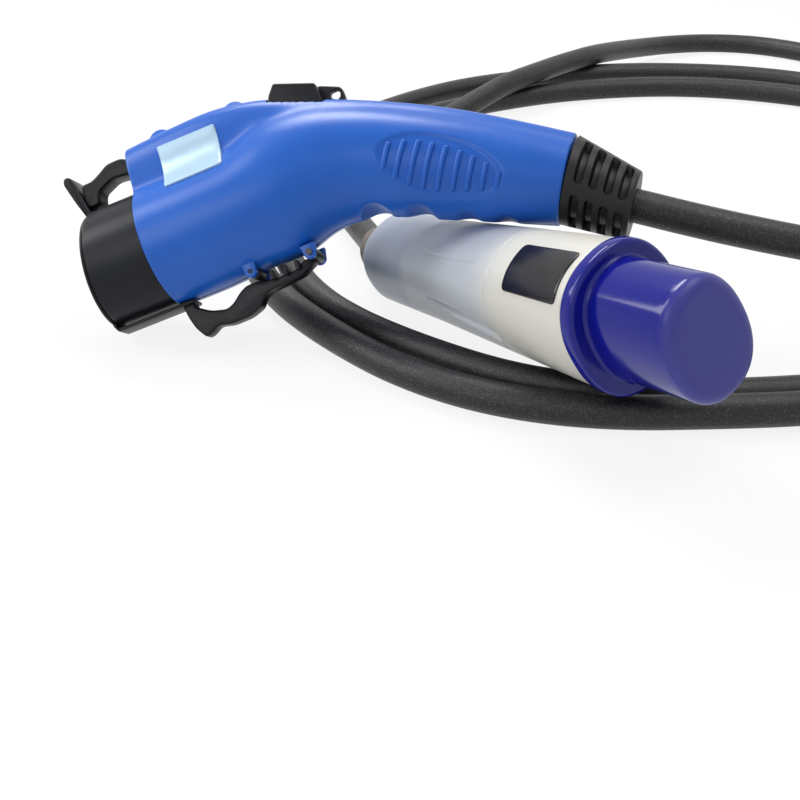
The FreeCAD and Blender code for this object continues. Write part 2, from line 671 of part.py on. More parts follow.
def make_plug_cap():
    """Flanged cap over the plug's front: wide flange, tube and closed end with a rounded edge."""
    x0 = PLUG_FRONT[0] + CLEAR
    wide, high = CAP_FLANGE_HALF
    flange = plug_loft([
        (x0, wide - 0.9, high - 0.9), (x0 + 1.2, wide, high),
        (x0 + CAP_FLANGE_LONG - 2.0, wide, high), (x0 + CAP_FLANGE_LONG, wide - 2.2, high - 2.2),
    ])
    wide, high = CAP_TUBE_HALF
    sections = [(x0 + 1.0, wide, high)]
    for i in range(4):
        angle = math.pi / 2 * i / 3
        drop = CAP_EDGE_R * (1 - math.cos(angle))
        sections.append((x0 + CAP_LONG - CAP_EDGE_R * (1 - math.sin(angle)), wide - drop, high - drop))
    barrel = plug_loft(sections)
    hollow = plug_loft([
        (x0 - 1.0, wide - CAP_WALL, high - CAP_WALL), (x0 + CAP_LONG - CAP_EDGE_R, wide - CAP_WALL, high - CAP_WALL),
    ])
    return flange.fuse(barrel).cut(hollow)


def make_boot():
    """Grey boot behind the plug that tapers onto the lead."""
    boot = lathe([
        (0, CABLE_R), (0, BOOT_R0), (-3.0, BOOT_R0), (-BOOT_LONG + 1.0, BOOT_R1 + 0.2),
        (-BOOT_LONG, BOOT_R1 - 0.6), (-BOOT_LONG, CABLE_R),
    ])
    return boot


def make_label(collar_skin):
    """Blank dark plate on the collar, following its surface."""
    proud = plug_loft([shrunk(s, -LABEL_THICK) for s in (PLUG_SEAM, PLUG_FRONT)])
    band = Part.makeBox(LABEL_SPAN[1] - LABEL_SPAN[0], 120.0, 120.0, V(LABEL_SPAN[0], -60.0, -60.0))
    wedge = sector(LABEL_FROM, LABEL_TO)
    return proud.cut(collar_skin).common(band).common(wedge)


def sector(angle0, angle1):
    """A wedge about the plug's axis between two angles, from +y towards +z."""
    reach = 80.0
    points = [V(0, 0, 0)]
    for angle in (angle0, (angle0 + angle1) / 2, angle1):
        a = math.radians(angle)
        points.append(V(0, reach * math.cos(a), reach * math.sin(a)))
    wire = Part.makePolygon(points + [points[0]])
    return Part.Face(wire).extrude(V(200, 0, 0))


def gun_place(shape):
    """The connector leans back and is turned a little, its nose on the table."""
    out = shape.copy()
    out.rotate(V(0, 0, 0), V(1, 0, 0), GUN_LEAN)
    out.rotate(V(0, 0, 0), V(0, 0, 1), GUN_TURN)
    out.translate(table(GUN_AT))
    return out


def plug_place(shape):
    """The plug points at the viewer, its rear end on the table and its flange on the lead."""
    out = shape.copy()
    out.Placement = plug_placement().multiply(out.Placement)
    return out


def plug_placement():
    return FreeCAD.Placement(table(PLUG_AT), FreeCAD.Rotation(PLUG_TURN, -PLUG_RISE, PLUG_ROLL))


def table(point):
    """A point of the layout, counted from the origin."""
    z = point[2] if len(point) > 2 else 0.0
    return V(point[0] - ORIGIN_SHIFT[0], point[1] - ORIGIN_SHIFT[1], z)


def oval(extremes, grow):
    """A closed outline made of four quarter ellipses between the coil's extremes."""
    left, rear = extremes["left"], extremes["rear"]
    right, front = extremes["right"], extremes["front"]
    corners = [
        (left[0] - grow, left[1]), (rear[0], rear[1] + grow), (right[0] + grow, right[1]), (front[0], front[1] - grow),
    ]
    points = []
    per_quarter = 8
    for i, a in enumerate(corners):
        b = corners[(i + 1) % 4]
        for k in range(per_quarter):
            angle = math.pi / 2 * k / per_quarter
            c, s = math.cos(angle), math.sin(angle)
            upright = i % 2 == 0
            x = b[0] + (a[0] - b[0]) * c if upright else a[0] + (b[0] - a[0]) * s
            y = a[1] + (b[1] - a[1]) * s if upright else b[1] + (a[1] - b[1]) * c
            points.append(table((x, y)))
    return closed_curve(points)


def make_coil():
    """The outer shape of the turns on the table: one flat oval ring."""
    outer = Part.Face(oval(COIL_OUTER, CABLE_R)).extrude(V(0, 0, COIL_TOP))
    inner = Part.Face(oval(COIL_INNER, -CABLE_R)).extrude(V(0, 0, COIL_TOP))
    return outer.cut(inner)


def route_wire(points):
    """Straight runs joined by tangent arcs, each as large as its two runs allow."""
    edges = []
    here = points[0]
    for i in range(1, len(points) - 1):
        before, corner, after = points[i - 1], points[i], points[i + 1]
        back = (before - corner)
        ahead = (after - corner)
        shorter = min(back.Length, ahead.Length)
        back.normalize()
        ahead.normalize()
        half_turn = (math.pi - back.getAngle(ahead)) / 2
        trim = 0.45 * shorter
        radius = trim / math.tan(half_turn)
        print("bend radius", round(radius, 1), "mm")
        start, end = corner + back * trim, corner + ahead * trim
        middle_way = (back + ahead).normalize()
        to_centre = math.hypot(trim, radius)
        middle = corner + middle_way * (to_centre - radius)
        edges.append(Part.LineSegment(here, start).toShape())
        edges.append(Part.Arc(start, middle, end).toShape())
        here = end
    edges.append(Part.LineSegment(here, points[-1]).toShape())
    return Part.Wire(edges)


def make_run(points):
    """A stretch of the lead as a plain tube along its route."""
    wire = route_wire(points)
    way = (points[1] - points[0]).normalize()
    profile = Part.Wire([Part.makeCircle(CABLE_R, points[0], way)])
    run = wire.makePipeShell([profile], True, False)
    print("lead length", round(wire.Length), "volume ratio", round(run.Volume / (math.pi * CABLE_R ** 2 * wire.Length), 4))
    return run


def gun_exit():
    """Where the lead leaves the connector, and a point straight behind that."""
    mark = Part.makeLine(V(RELIEF_LONG, 0, 0), V(RELIEF_LONG + 20.0, 0, 0))
    placed = gun_place(relief_frame(mark))
    return placed.Vertexes[0].Point, placed.Vertexes[1].Point


def plug_exit():
    """Where the lead leaves the plug's boot, and a point straight behind that."""
    placed = plug_placement()
    return placed.multVec(V(-BOOT_LONG, 0, 0)), placed.multVec(V(-BOOT_LONG - 37.0, 0, 0))


def make_lead():
    """The stretch from the connector ends on top of the coil, the one from the plug at its side."""
    coil = make_coil()
    start, ahead = gun_exit()
    gun_run = make_run([start, ahead] + [table(p) for p in GUN_RUN])
    start, ahead = plug_exit()
    plug_run = make_run([start, ahead] + [table(p) for p in PLUG_RUN])
    return {"cable_run_gun": gun_run, "cable_run_plug": plug_run, "cable_coil": coil}


def make_core():
    """The end of the lead inside the connector, through the clamp and the strain relief."""
    return relief_frame(tube(CABLE_R - FIT, RELIEF_LONG + 40.0, (-40.0, 0, 0), (1, 0, 0)))


def connector():
    outer = housing_loft(0.0)
    near, far = make_housing()
    places = contact_places()
    pieces = {
        "shell_near": near,
        "shell_far": far,
        "nose_barrel": make_nose(),
        "contact_insulator": make_insulator(),
        "nose_seal": make_seal(),
        "power_socket_1": make_socket(*places[0]),
        "power_socket_2": make_socket(*places[1]),
        "earth_socket": make_socket(*places[2]),
        "signal_socket_1": make_socket(*places[3]),
        "signal_socket_2": make_socket(*places[4]),
        "latch_lever": make_lever(),
        "latch_button": make_button(),
        "latch_pin": make_pin(LATCH_PIVOT, LATCH_PIN_R, LATCH_PIN_REACH),
        "latch_spring": make_spring(LATCH_PIVOT, LATCH_PIN_R + 1.2, 3.6, 4, -1.8),
        "flip_cap": make_flip_cap(),
        "flip_cap_pin": make_pin(CAP_PIVOT, CAP_PIN_R, EAR_OUT),
        "flip_cap_spring_pin": make_pin(LUG_AT, LUG_PIN_R, LUG_OUT),
        "flip_cap_spring": make_spring(LUG_AT, LUG_PIN_R + 0.6, 8.0, 8, -4.0),
        "badge_plate": make_badge(outer),
        "strain_relief": make_relief(),
        "cable_clamp": make_clamp(),
        "housing_screws": make_screws(),
        "lead_core": make_core(),
    }
    return {name: gun_place(shape) for name, shape in pieces.items()}


def plug():
    collar_skin = plug_loft([PLUG_SEAM, PLUG_FRONT])
    pieces = {
        "plug_body": make_plug_body(),
        "plug_collar": make_plug_collar(),
        "plug_pin_carrier": make_pin_carrier(),
        "plug_pins": make_plug_pins(),
        "plug_cap": make_plug_cap(),
        "plug_boot": make_boot(),
        "plug_label": make_label(collar_skin),
    }
    return {name: plug_place(shape) for name, shape in pieces.items()}


def main():
    os.makedirs("parts", exist_ok=True)
    pieces = connector()
    pieces.update(plug())
    pieces.update(make_lead())
    for name, shape in pieces.items():
        state = "valid" if shape.isValid() else "NOT VALID"
        print(name, len(shape.Solids), "solids", round(shape.Volume), "mm3", state)
        shape.exportStep("parts/" + name + ".step")


main()
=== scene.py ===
"""Looks of a charging lead for an electric car: the pistol-grip connector, the capped supply plug
and the lead between them, on a pale floor under soft studio light.

Shapes are worked out in millimetres, in the frame of the piece they belong to: the connector's
(x rearwards, y up, z to the viewer's side), its head's (s along the nose, t across it) and the
plug's (d along its axis from the rear end). gun(), head() and plug() carry them into the row
frame, in metres.
"""
import math

import bmesh
import bpy
import numpy as np
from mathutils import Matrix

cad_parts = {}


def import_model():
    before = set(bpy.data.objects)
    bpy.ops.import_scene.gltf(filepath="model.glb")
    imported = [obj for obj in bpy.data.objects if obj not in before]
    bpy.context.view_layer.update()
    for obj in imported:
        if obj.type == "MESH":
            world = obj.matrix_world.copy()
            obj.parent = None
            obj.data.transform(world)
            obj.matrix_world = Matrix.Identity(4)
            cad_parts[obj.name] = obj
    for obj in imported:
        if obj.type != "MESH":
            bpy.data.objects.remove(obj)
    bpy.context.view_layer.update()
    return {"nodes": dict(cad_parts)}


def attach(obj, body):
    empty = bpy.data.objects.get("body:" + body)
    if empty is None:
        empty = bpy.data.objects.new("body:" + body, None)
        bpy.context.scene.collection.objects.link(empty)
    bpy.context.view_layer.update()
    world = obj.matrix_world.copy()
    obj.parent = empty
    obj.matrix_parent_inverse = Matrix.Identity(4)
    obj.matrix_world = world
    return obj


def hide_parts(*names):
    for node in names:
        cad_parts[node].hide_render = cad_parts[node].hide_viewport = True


TAU = 2 * math.pi
MM = 0.001

# where things lie on the table, from the corner that the camera stands over
ORIGIN_SHIFT = (-10.65, 428.2)
GUN_AT = (-108.4, 456.4, 22.2)
GUN_TURN = -14.1
GUN_LEAN = 59.3
PLUG_AT = (-4.6, 491.0, 16.3)
PLUG_TURN = -56.2
PLUG_RISE = 9.3
PLUG_ROLL = -60.0

# camera: height over the table, angle below the horizon, lens for a 36 mm picture
CAMERA_HIGH = 207.6
CAMERA_DOWN = 27.5
CAMERA_LENS = 60.75

# lamps: where each stands, what it looks at, its two sides in metres, its power in watts
LAMPS = (
    ("lamp_back", (-0.25, 0.65, 0.95), (0.03, 0.05, 0.03), (0.42, 0.30), 6.5),
    ("lamp_over", (0.45, 0.05, 1.25), (0.05, 0.05, 0.0), (0.7, 0.5), 5.5),
    ("lamp_left", (-0.9, -0.9, 0.75), (0.0, 0.0, 0.0), (0.7, 0.7), 4.2),
    ("lamp_window", (-0.80, 0.13, 0.56), (0.0, 0.0, 0.04), (0.26, 0.62), 4.2),
)
# how strong the white room is as light, and how strong the eye, mirrors and glass see it
ROOM_LIGHTS, ROOM_SEEN = 0.36, 1.0
# share of the floor that the eye, mirrors and glass see as pure white
FLOOR_GLOW = 0.86

# connector head
HEAD_TILT = 26.5
NOSE_R = 21.3
NOSE_FRONT = 3.2
NOSE_SLANT = 0.11
NOSE_BORE_R = 19.6
NOSE_REACH = 24.7
HEAD_R = 22.4
# bosses on the head's crown: their middles in the head's frame, and their radius
CROWN_BOSSES = ((37.8, 34.9), (66.6, 33.9))
CROWN_BOSS_R = 5.0

# latch
LATCH_PIVOT = (41.2, 31.2)
LATCH_PIN_R, LATCH_PIN_HALF = 1.5, 8.6
LEVER_HALF = 4.2
BUTTON_HALF = 7.4
BUTTON_GAP = 0.35
TAB_HALF = 1.5
PADLOCK_AT = (79.5, 70.6)
PADLOCK_R = 1.9
# openings in the handle's top for the button and the tab: middle and half length along x
BUTTON_WELL = (66.9, 10.5)
TAB_SLOT = (81.0, 4.6)

# flip cap
CAP_PIVOT = (77.0, -23.4)
CAP_KNUCKLE_R = 2.3
CAP_KNUCKLE_HALF = 5.0
CAP_ARM_HALF = 4.4
CAP_BAR_HALF = 2.9
LID_R = 20.9
LID_FRONT, LID_BACK = 1.7, 3.1
LID_DROP = 0.5
LIFT_TAB_HALF = 5.6
EAR_IN, EAR_OUT, EAR_R = 5.3, 7.6, 2.3
LUG_AT = (55.3, -22.5)
LUG_IN, LUG_OUT, LUG_R = 6.6, 9.2, 2.1

# handle
GRIP_CENTRE = (122.8, 45.6)
GRIP_TILT = -9.0
GRIP_LONG, GRIP_HIGH = 43.8, 19.6
GRIP_DEPTH = 0.75
GRIP_RIB_R = 0.95
# upper and lower end of each raised rib
GRIP_RIBS = (
    ((104.9, 51.7), (103.4, 40.9)), ((110.0, 52.9), (107.8, 38.9)), ((115.0, 53.3), (112.7, 37.6)),
    ((119.8, 52.8), (117.5, 37.0)), ((124.6, 52.1), (122.5, 37.0)), ((129.5, 50.8), (127.7, 37.3)),
    ((134.1, 49.2), (132.5, 37.6)), ((138.7, 47.3), (137.4, 38.2)), ((143.2, 44.7), (142.4, 38.9)),
)
# where each finger lies under the handle, and how high its hollow reaches
FINGERS = ((100.8, 31.8), (116.0, 32.6), (132.4, 32.0), (145.8, 31.9))
FINGER_R = 6.0
SCREW_AT = ((58.0, 24.0), (88.0, 36.0), (132.0, 61.0))
SCREW_WELL_R = 2.8
SCREW_WELL_FLOOR = -14.3

# badge on the head's flank, as spans along the nose and across it
BADGE_S = (37.7, 60.0)
BADGE_T = (14.2, 31.3)
BADGE_THICK = 1.0

# strain relief
RELIEF_AT = (165.2, 47.0)
RELIEF_FALL = -7.2
RELIEF_LONG = 22.4
RELIEF_R0, RELIEF_R1 = 15.2, 11.8
RELIEF_TWIST = 19.0
SLOT_FIRST = 4.15
SLOT_PITCH = 4.9
SLOT_COUNT = 4
SLOT_WIDE = 2.5
SLOT_DEEP = 3.0
SLOT_WEB = 2.3
RELIEF_SAG = 4.4

# plug
PLUG_START = 6.0
PLUG_SEAM = 90.0
PLUG_FRONT = 131.6
# distance along its axis, half width, half height
PLUG_RINGS = ((0.0, 15.9, 15.9), (46.0, 18.2, 17.4), (PLUG_SEAM, 21.7, 19.5), (PLUG_FRONT, 24.4, 21.5))
PLUG_POWER = 2.3
PLUG_REAR_ROUND = 4.2
# angle of the moulding line on one flank, the other being opposite
MOULDING_ANGLE = 204.5
# the leaf-shaped recess's two points, as distance and angle
LEAF_START, LEAF_END = (50.0, 254.5), (104.0, 285.0)
CAP_FROM = 131.95
CAP_FLANGE_LONG = 5.4
CAP_FLANGE_HALF = (25.3, 22.1)
CAP_TUBE_HALF = (20.9, 16.0)
CAP_LONG = 40.6
CAP_EDGE_R = 4.5
BOOT_R0, BOOT_R1, BOOT_LONG = 11.5, 7.6, 24.0
BOOT_DRIFT = 5.0
LABEL_D = (100.2, 128.4)
LABEL_ANGLE = (176.5, 220.5)
LABEL_THICK = 0.45
# radius by which the label's angles are counted as lengths
LABEL_REACH = 22.0

# lead
CABLE_D = 11.5


def turn(points, axis, degrees):
    """Points turned about one coordinate axis: the other two are mixed by cosine and sine."""
    a, b = [k for k in range(3) if k != axis]
    if axis == 1:
        a, b = b, a
    c, s = math.cos(math.radians(degrees)), math.sin(math.radians(degrees))
    out = np.array(points, float)
    one, two = points[..., a], points[..., b]
    out[..., a], out[..., b] = c * one - s * two, s * one + c * two
    return out


def on_table(point):
    """A layout point in metres, counted from the row frame's origin."""
    x, y, z = point
    return np.array([x - ORIGIN_SHIFT[0], y - ORIGIN_SHIFT[1], z]) * MM


def gun(points):
    """Connector frame to row frame: leaned about its long side, turned on the table, set down."""
    return turn(turn(np.asarray(points, float), 0, GUN_LEAN), 2, GUN_TURN) * MM + on_table(GUN_AT)


def head(points):
    """Head frame to row frame."""
    return gun(turn(np.asarray(points, float), 2, HEAD_TILT))


def relief(points):
    """Strain relief's own frame, its axis along x, to row frame."""
    tipped = turn(np.asarray(points, float), 2, RELIEF_FALL)
    return gun(tipped + np.array([RELIEF_AT[0], RELIEF_AT[1], 0.0]))


def drooping_relief(points):
    """The same, sinking evenly towards the lead, whose weight pulls it down."""
    points = np.asarray(points, float)
    placed = relief(points)
    placed[..., 2] -= RELIEF_SAG * MM * np.clip(points[..., 0] / RELIEF_LONG, 0, 1)
    return placed


def plug(points):
    """Plug frame to row frame: rolled about its axis, raised at the front, turned, set down."""
    rolled = turn(np.asarray(points, float), 0, PLUG_ROLL)
    return turn(turn(rolled, 1, -PLUG_RISE), 2, PLUG_TURN) * MM + on_table(PLUG_AT)


def bent_boot(points):
    """Plug frame to row frame for what lies behind the plug: pushed sideways by BOOT_DRIFT times the
    square of the distance in boot lengths, and on along the same line past the boot's end."""
    points = np.asarray(points, float)
    share = np.maximum((PLUG_START - points[..., 0]) / BOOT_LONG, 0)
    placed = plug(points)
    placed[..., 0] += BOOT_DRIFT * MM * np.where(share < 1, share ** 2, 2 * share - 1)
    return placed


def swung(x, y, degrees):
    """Flat coordinates turned about their origin."""
    c, s = math.cos(math.radians(degrees)), math.sin(math.radians(degrees))
    return c * x - s * y, s * x + c * y


def step(value, start, end):
    """Smooth step: 0 before start, 1 after end, 3u^2 - 2u^3 of the share u between them."""
    u = np.clip((value - start) / (end - start), 0, 1)
    return u * u * (3 - 2 * u)


def grid_faces(rows, cols, wrap_rows=False, wrap_cols=False):
    """Quads between neighbours on a grid of rows and columns, wrapping round where asked."""
    last_row, last_col = rows if wrap_rows else rows - 1, cols if wrap_cols else cols - 1
    i, j = np.meshgrid(np.arange(last_row), np.arange(last_col), indexing="ij")
    i2, j2 = (i + 1) % rows, (j + 1) % cols
    return np.stack([i * cols + j, i2 * cols + j, i2 * cols + j2, i * cols + j2], -1).reshape(-1, 4)


def surface(points, wrap_rows=False, wrap_cols=False):
    """A grid of points as a part: the points in one list, and the quads between neighbours."""
    return points.reshape(-1, 3), grid_faces(*points.shape[:2], wrap_rows, wrap_cols).tolist()


def about_x(along, radius, angle):
    """Points about the x axis, their y and z the radius times the angle's cosine and sine."""
    return np.stack(np.broadcast_arrays(along, radius * np.cos(angle), radius * np.sin(angle)), -1)


def arc(at, radius, angle):
    """Flat points round a centre at those angles."""
    return np.stack([at[0] + radius * np.cos(angle), at[1] + radius * np.sin(angle)], -1)


def dense(outline, spacing=0.8):
    """A closed outline with points added wherever two lie at least two spacings apart."""
    points = []
    for a, b in zip(outline, np.roll(outline, -1, 0)):
        count = max(int(np.linalg.norm(b - a) / spacing), 1)
        points += [a + (b - a) * k / count for k in range(count)]
    return np.array(points)


def rounded(outline, radius, steps=4):
    """A closed outline whose corners are swapped for quadratic curves that start radius away."""
    p = np.asarray(outline, float)
    after = np.roll(p, -1, 0)
    edge = after - p
    long = np.linalg.norm(edge, axis=1, keepdims=True)
    trim = np.minimum(radius, 0.46 * long) / long
    leave = after - edge * trim
    arrive = np.roll(p + edge * trim, -1, 0)
    u = np.linspace(0, 1, steps + 1)[None, :, None]
    curve = (1 - u) ** 2 * leave[:, None] + 2 * u * (1 - u) * after[:, None] + u ** 2 * arrive[:, None]
    return curve.reshape(-1, 2)


def softened(profile, radius, steps=4):
    """An open line with its inner corners rounded the same way, its two ends kept."""
    p = np.asarray(profile, float)
    before, corner, after = p[:-2], p[1:-1], p[2:]
    back, ahead = before - corner, after - corner
    long_b = np.linalg.norm(back, axis=1, keepdims=True)
    long_a = np.linalg.norm(ahead, axis=1, keepdims=True)
    leave = corner + back * np.minimum(radius, 0.46 * long_b) / long_b
    arrive = corner + ahead * np.minimum(radius, 0.46 * long_a) / long_a
    u = np.linspace(0, 1, steps + 1)[None, :, None]
    curve = (1 - u) ** 2 * leave[:, None] + 2 * u * (1 - u) * corner[:, None] + u ** 2 * arrive[:, None]
    return np.vstack([p[:1], curve.reshape(-1, 2), p[-1:]])


def side_of(outline):
    """Outward unit direction at each point of a closed outline, from its two neighbours."""
    along = np.roll(outline, -1, 0) - np.roll(outline, 1, 0)
    out = np.stack([along[:, 1], -along[:, 0]], -1)
    out /= np.linalg.norm(out, axis=1, keepdims=True) + 1e-12
    x, y = outline[:, 0], outline[:, 1]
    area = np.sum(x * np.roll(y, -1) - y * np.roll(x, -1))
    return out if area > 0 else -out


def plate(outline, low, high, edge=0.6, corner=0.8):
    """A flat outline carried from low to high, its rims rounded: rings inset by edge times one minus
    the cosine while they rise by edge times the sine, and a face over each end."""
    line = rounded(outline, corner)
    out = side_of(line)
    angle = np.linspace(0, math.pi / 2, 4)
    inset = edge * (1 - np.sin(angle))
    rise = edge * (1 - np.cos(angle))
    insets = np.concatenate([inset, inset[::-1]])
    levels = np.concatenate([low + rise, high - rise[::-1]])
    flat = line[None] - out[None] * insets[:, None, None]
    rings = np.concatenate([flat, np.broadcast_to(levels[:, None, None], flat.shape[:2] + (1,))], -1)
    count = len(line)
    faces = grid_faces(len(levels), count, wrap_cols=True).tolist()
    faces.append(list(range(count)))
    faces.append(list(range((len(levels) - 1) * count, len(levels) * count)))
    return rings.reshape(-1, 3), faces


def pin(at, radius, half):
    """A short round bar through a point, from -half to half, its rims broken."""
    return plate(arc(at, radius, np.linspace(0, TAU, 32, endpoint=False)), -half, half, 0.3, 0.1)


def lathe(profile, around, closed=False):
    """A line of (along, radius) pairs turned about x, its last row joined to its first if closed."""
    along, radius = np.asarray(profile, float).T[..., None]
    return surface(about_x(along, radius, np.linspace(0, TAU, around, endpoint=False)), closed, True)


def disc(outline, lift, rings, shape):
    """A rounded patch on a curved surface: rings of the outline scaled towards its middle, each raised
    by its own lift, and shape() turns each flat point and its lift into a point of the piece's frame."""
    middle = outline.mean(0)
    flat = middle + (outline[None] - middle) * np.asarray(rings)[:, None, None]
    lifts = np.broadcast_to(np.asarray(lift)[:, None], flat.shape[:2])
    return surface(shape(flat[..., 0], flat[..., 1], lifts), wrap_cols=True)


def piece(name, parts, finish, body, replaces=(), place=None, smooth=40, thick=None):
    """One object from (points, faces) parts laid side by side in one mesh, doubles merged and normals
    turned outwards, shaded smooth up to an angle, carried into the row frame by place()."""
    points, faces, first = [], [], 0
    for more_points, more_faces in parts:
        points.append(np.asarray(more_points, float).reshape(-1, 3))
        faces += [[k + first for k in face] for face in more_faces]
        first += len(points[-1])
    points = np.vstack(points)
    if place is not None:
        points = place(points)
    mesh = bpy.data.meshes.new(name)
    mesh.from_pydata(points.tolist(), [], faces)
    work = bmesh.new()
    work.from_mesh(mesh)
    bmesh.ops.remove_doubles(work, verts=work.verts, dist=2e-6)
    bmesh.ops.recalc_face_normals(work, faces=work.faces)
    work.to_mesh(mesh)
    work.free()
    mesh.polygons.foreach_set("use_smooth", np.ones(len(mesh.polygons), bool))
    mesh.set_sharp_from_angle(angle=math.radians(smooth))
    made = bpy.data.objects.new(name, mesh)
    bpy.context.scene.collection.objects.link(made)
    mesh.materials.append(finish)
    if thick:
        wall = made.modifiers.new("wall", "SOLIDIFY")
        wall.thickness = thick * MM
        wall.offset = -1
    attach(made, body)
    if replaces:
        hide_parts(*replaces)
    return made


# materials

def srgb(red, green, blue):
    """A screen colour from 0 to 255 as a linear shader colour."""
    c = np.array([red, green, blue]) / 255
    linear = np.where(c <= 0.04045, c / 12.92, ((c + 0.055) / 1.055) ** 2.4)
    return (*[float(x) for x in linear], 1.0)


class Value:
    """An output socket that takes part in sums, products, differences and powers."""

    def __init__(self, nodes, socket):
        self.nodes = nodes
        self.socket = socket

    def math(self, operation, *values):
        inputs = dict(enumerate(values))
        return self.nodes.node("ShaderNodeMath", {"operation": operation}, inputs)

    def __add__(self, other):
        return self.math("ADD", self, other)

    __radd__ = __add__

    def __mul__(self, other):
        return self.math("MULTIPLY", self, other)

    __rmul__ = __mul__

    def __sub__(self, other):
        return self.math("SUBTRACT", self, other)

    def __rsub__(self, other):
        return self.math("SUBTRACT", other, self)

    def __truediv__(self, other):
        return self.math("DIVIDE", self, other)

    def __pow__(self, other):
        return self.math("POWER", self, other)

    def above(self, low, high):
        """0 below low, 1 above high, smooth between."""
        settings = {"interpolation_type": "SMOOTHSTEP"}
        inputs = {"Value": self, "From Min": low, "From Max": high}
        return self.nodes.node("ShaderNodeMapRange", settings, inputs)


class Nodes:
    """A node tree in the making."""

    def __init__(self, tree):
        self.tree = tree
        self.tree.nodes.clear()

    def node(self, kind, settings=None, inputs=None, out=0):
        """A node of that kind, its settings first, then its sockets' values or links."""
        made = self.tree.nodes.new(kind)
        for key, value in (settings or {}).items():
            setattr(made, key, value)
        for key, value in (inputs or {}).items():
            if isinstance(value, Value):
                self.tree.links.new(value.socket, made.inputs[key])
            else:
                made.inputs[key].default_value = value
        return Value(self, made.outputs[out])

    def rays(self):
        """1 for rays from the camera, off mirrors and through glass, 0 for light on its way."""
        camera, mirror, glass = [self.node("ShaderNodeLightPath", out=k) for k in (0, 3, 6)]
        return camera.math("MAXIMUM", camera.math("MAXIMUM", camera, mirror), glass)

    def end(self, kind, shader):
        """The tree's output of that kind, joined to the shader."""
        output = self.tree.nodes.new(kind)
        self.tree.links.new(shader.socket, output.inputs["Surface"])


class Finish(Nodes):
    """A material in the making."""

    def __init__(self, name):
        self.material = bpy.data.materials.new(name)
        self.material.use_nodes = True
        super().__init__(self.material.node_tree)

    def place(self):
        """Where a point is in the row frame, in metres."""
        return self.node("ShaderNodeTexCoord", out=3)

    def noise(self, scale, detail=2.0, rough=0.5, where=None):
        """Cloudy noise from 0 to 1, scale in features per metre."""
        inputs = {"Vector": where or self.place(), "Scale": scale, "Detail": detail, "Roughness": rough}
        return self.node("ShaderNodeTexNoise", inputs=inputs)

    def marked(self, name):
        """A number stored on the mesh's points."""
        return self.node("ShaderNodeAttribute", {"attribute_name": name}, out=2)

    def blend(self, share, one, two):
        """Colour one, and two where share is 1."""
        settings = {"data_type": "RGBA"}
        return self.node("ShaderNodeMix", settings, {0: share, 6: one, 7: two}, out=2)

    def bump(self, height, distance, strength=1.0, under=None):
        """Normal tipped by a height in units of distance metres."""
        inputs = {"Height": height, "Distance": distance, "Strength": strength}
        if under is not None:
            inputs["Normal"] = under
        return self.node("ShaderNodeBump", inputs=inputs)

    def close(self, **inputs):
        """The shader itself, with values or links by socket name, joined to the output."""
        named = {key.replace("_", " "): value for key, value in inputs.items()}
        self.end("ShaderNodeOutputMaterial", self.node("ShaderNodeBsdfPrincipled", inputs=named))
        return self.material


def moulded(name, colour, shade, rough, shine=0.5, grain=9000.0, grain_deep=0.000012):
    """Moulded plastic: slow clouds between two near tones, a fine spark-eroded grain, scuffed gloss."""
    finish = Finish(name)
    clouds = finish.noise(38.0, 3.0)
    fine = finish.noise(grain, 2.0, 0.6)
    scuffs = finish.noise(420.0, 4.0, 0.7)
    return finish.close(
        Base_Color=finish.blend(clouds.above(0.35, 0.65) * 0.5, colour, shade),
        Roughness=(scuffs - 0.5) * 0.10 + (fine - 0.5) * 0.06 + rough,
        Normal=finish.bump(fine, grain_deep),
        Specular_IOR_Level=shine,
    )


def metal(name, colour, rough):
    """Drawn metal: a fine brushed sheen, duller in patches."""
    finish = Finish(name)
    patches = finish.noise(260.0, 3.0)
    fine = finish.noise(7000.0, 2.0)
    return finish.close(
        Base_Color=finish.blend(patches * 0.4, colour, tuple(0.6 * c for c in colour[:3]) + (1.0,)),
        Metallic=1.0,
        Roughness=patches * 0.16 + rough,
        Normal=finish.bump(fine, 0.000006),
    )


def sheath():
    """Rubber sheath of the lead: near black, lighter glints painted on its fine grain's tips, dull in
    patches.
    """
    finish = Finish("lead_sheath")
    fine = finish.noise(1500.0, 3.0, 0.65)
    patches = finish.noise(42.0, 3.0)
    painted_glints = fine.above(0.50, 0.70)
    return finish.close(
        # painted highlight: the grain's tips are painted a light brown-grey as glints
        Base_Color=finish.blend(painted_glints, srgb(13, 13, 16), srgb(70, 66, 62)),
        Roughness=0.42 - painted_glints * 0.12 + (patches - 0.5) * 0.12,
        Normal=finish.bump(fine, 0.00022, 0.8),
        Specular_IOR_Level=0.40,
    )


def cap_plastic():
    """Glossy violet-blue cap, rougher on its closed end, where a lighter violet is painted in as a
    reflection of the white room.
    """
    finish = Finish("cap_plastic")
    rough_end_painted_sheen = finish.marked("along").above(CAP_FROM + CAP_LONG - 5.5, CAP_FROM + CAP_LONG - 1.2)
    clouds = finish.noise(30.0, 2.0)
    fine = finish.noise(5200.0, 2.0)
    base = finish.blend(clouds * 0.35, srgb(14, 20, 130), srgb(11, 15, 108))
    # painted reflection: the closed end's colour is lightened towards a pale violet
    base = finish.blend(rough_end_painted_sheen * 0.8, base, srgb(66, 66, 142))
    return finish.close(
        Base_Color=base,
        Roughness=rough_end_painted_sheen * 0.26 + fine * 0.04 + 0.10,
        Normal=finish.bump(fine, 0.000004),
        Specular_IOR_Level=0.28,
    )


def label_gloss():
    """Printed plastic label, dark brown-black and glossy, with nothing on it."""
    finish = Finish("label_gloss")
    clouds = finish.noise(160.0, 3.0)
    fine = finish.noise(6000.0, 2.0)
    return finish.close(
        Base_Color=finish.blend(clouds.above(0.4, 0.7), srgb(20, 17, 20), srgb(32, 28, 32)),
        Roughness=clouds * 0.08 + 0.12,
        Normal=finish.bump(fine, 0.000006),
        Specular_IOR_Level=0.4,
    )


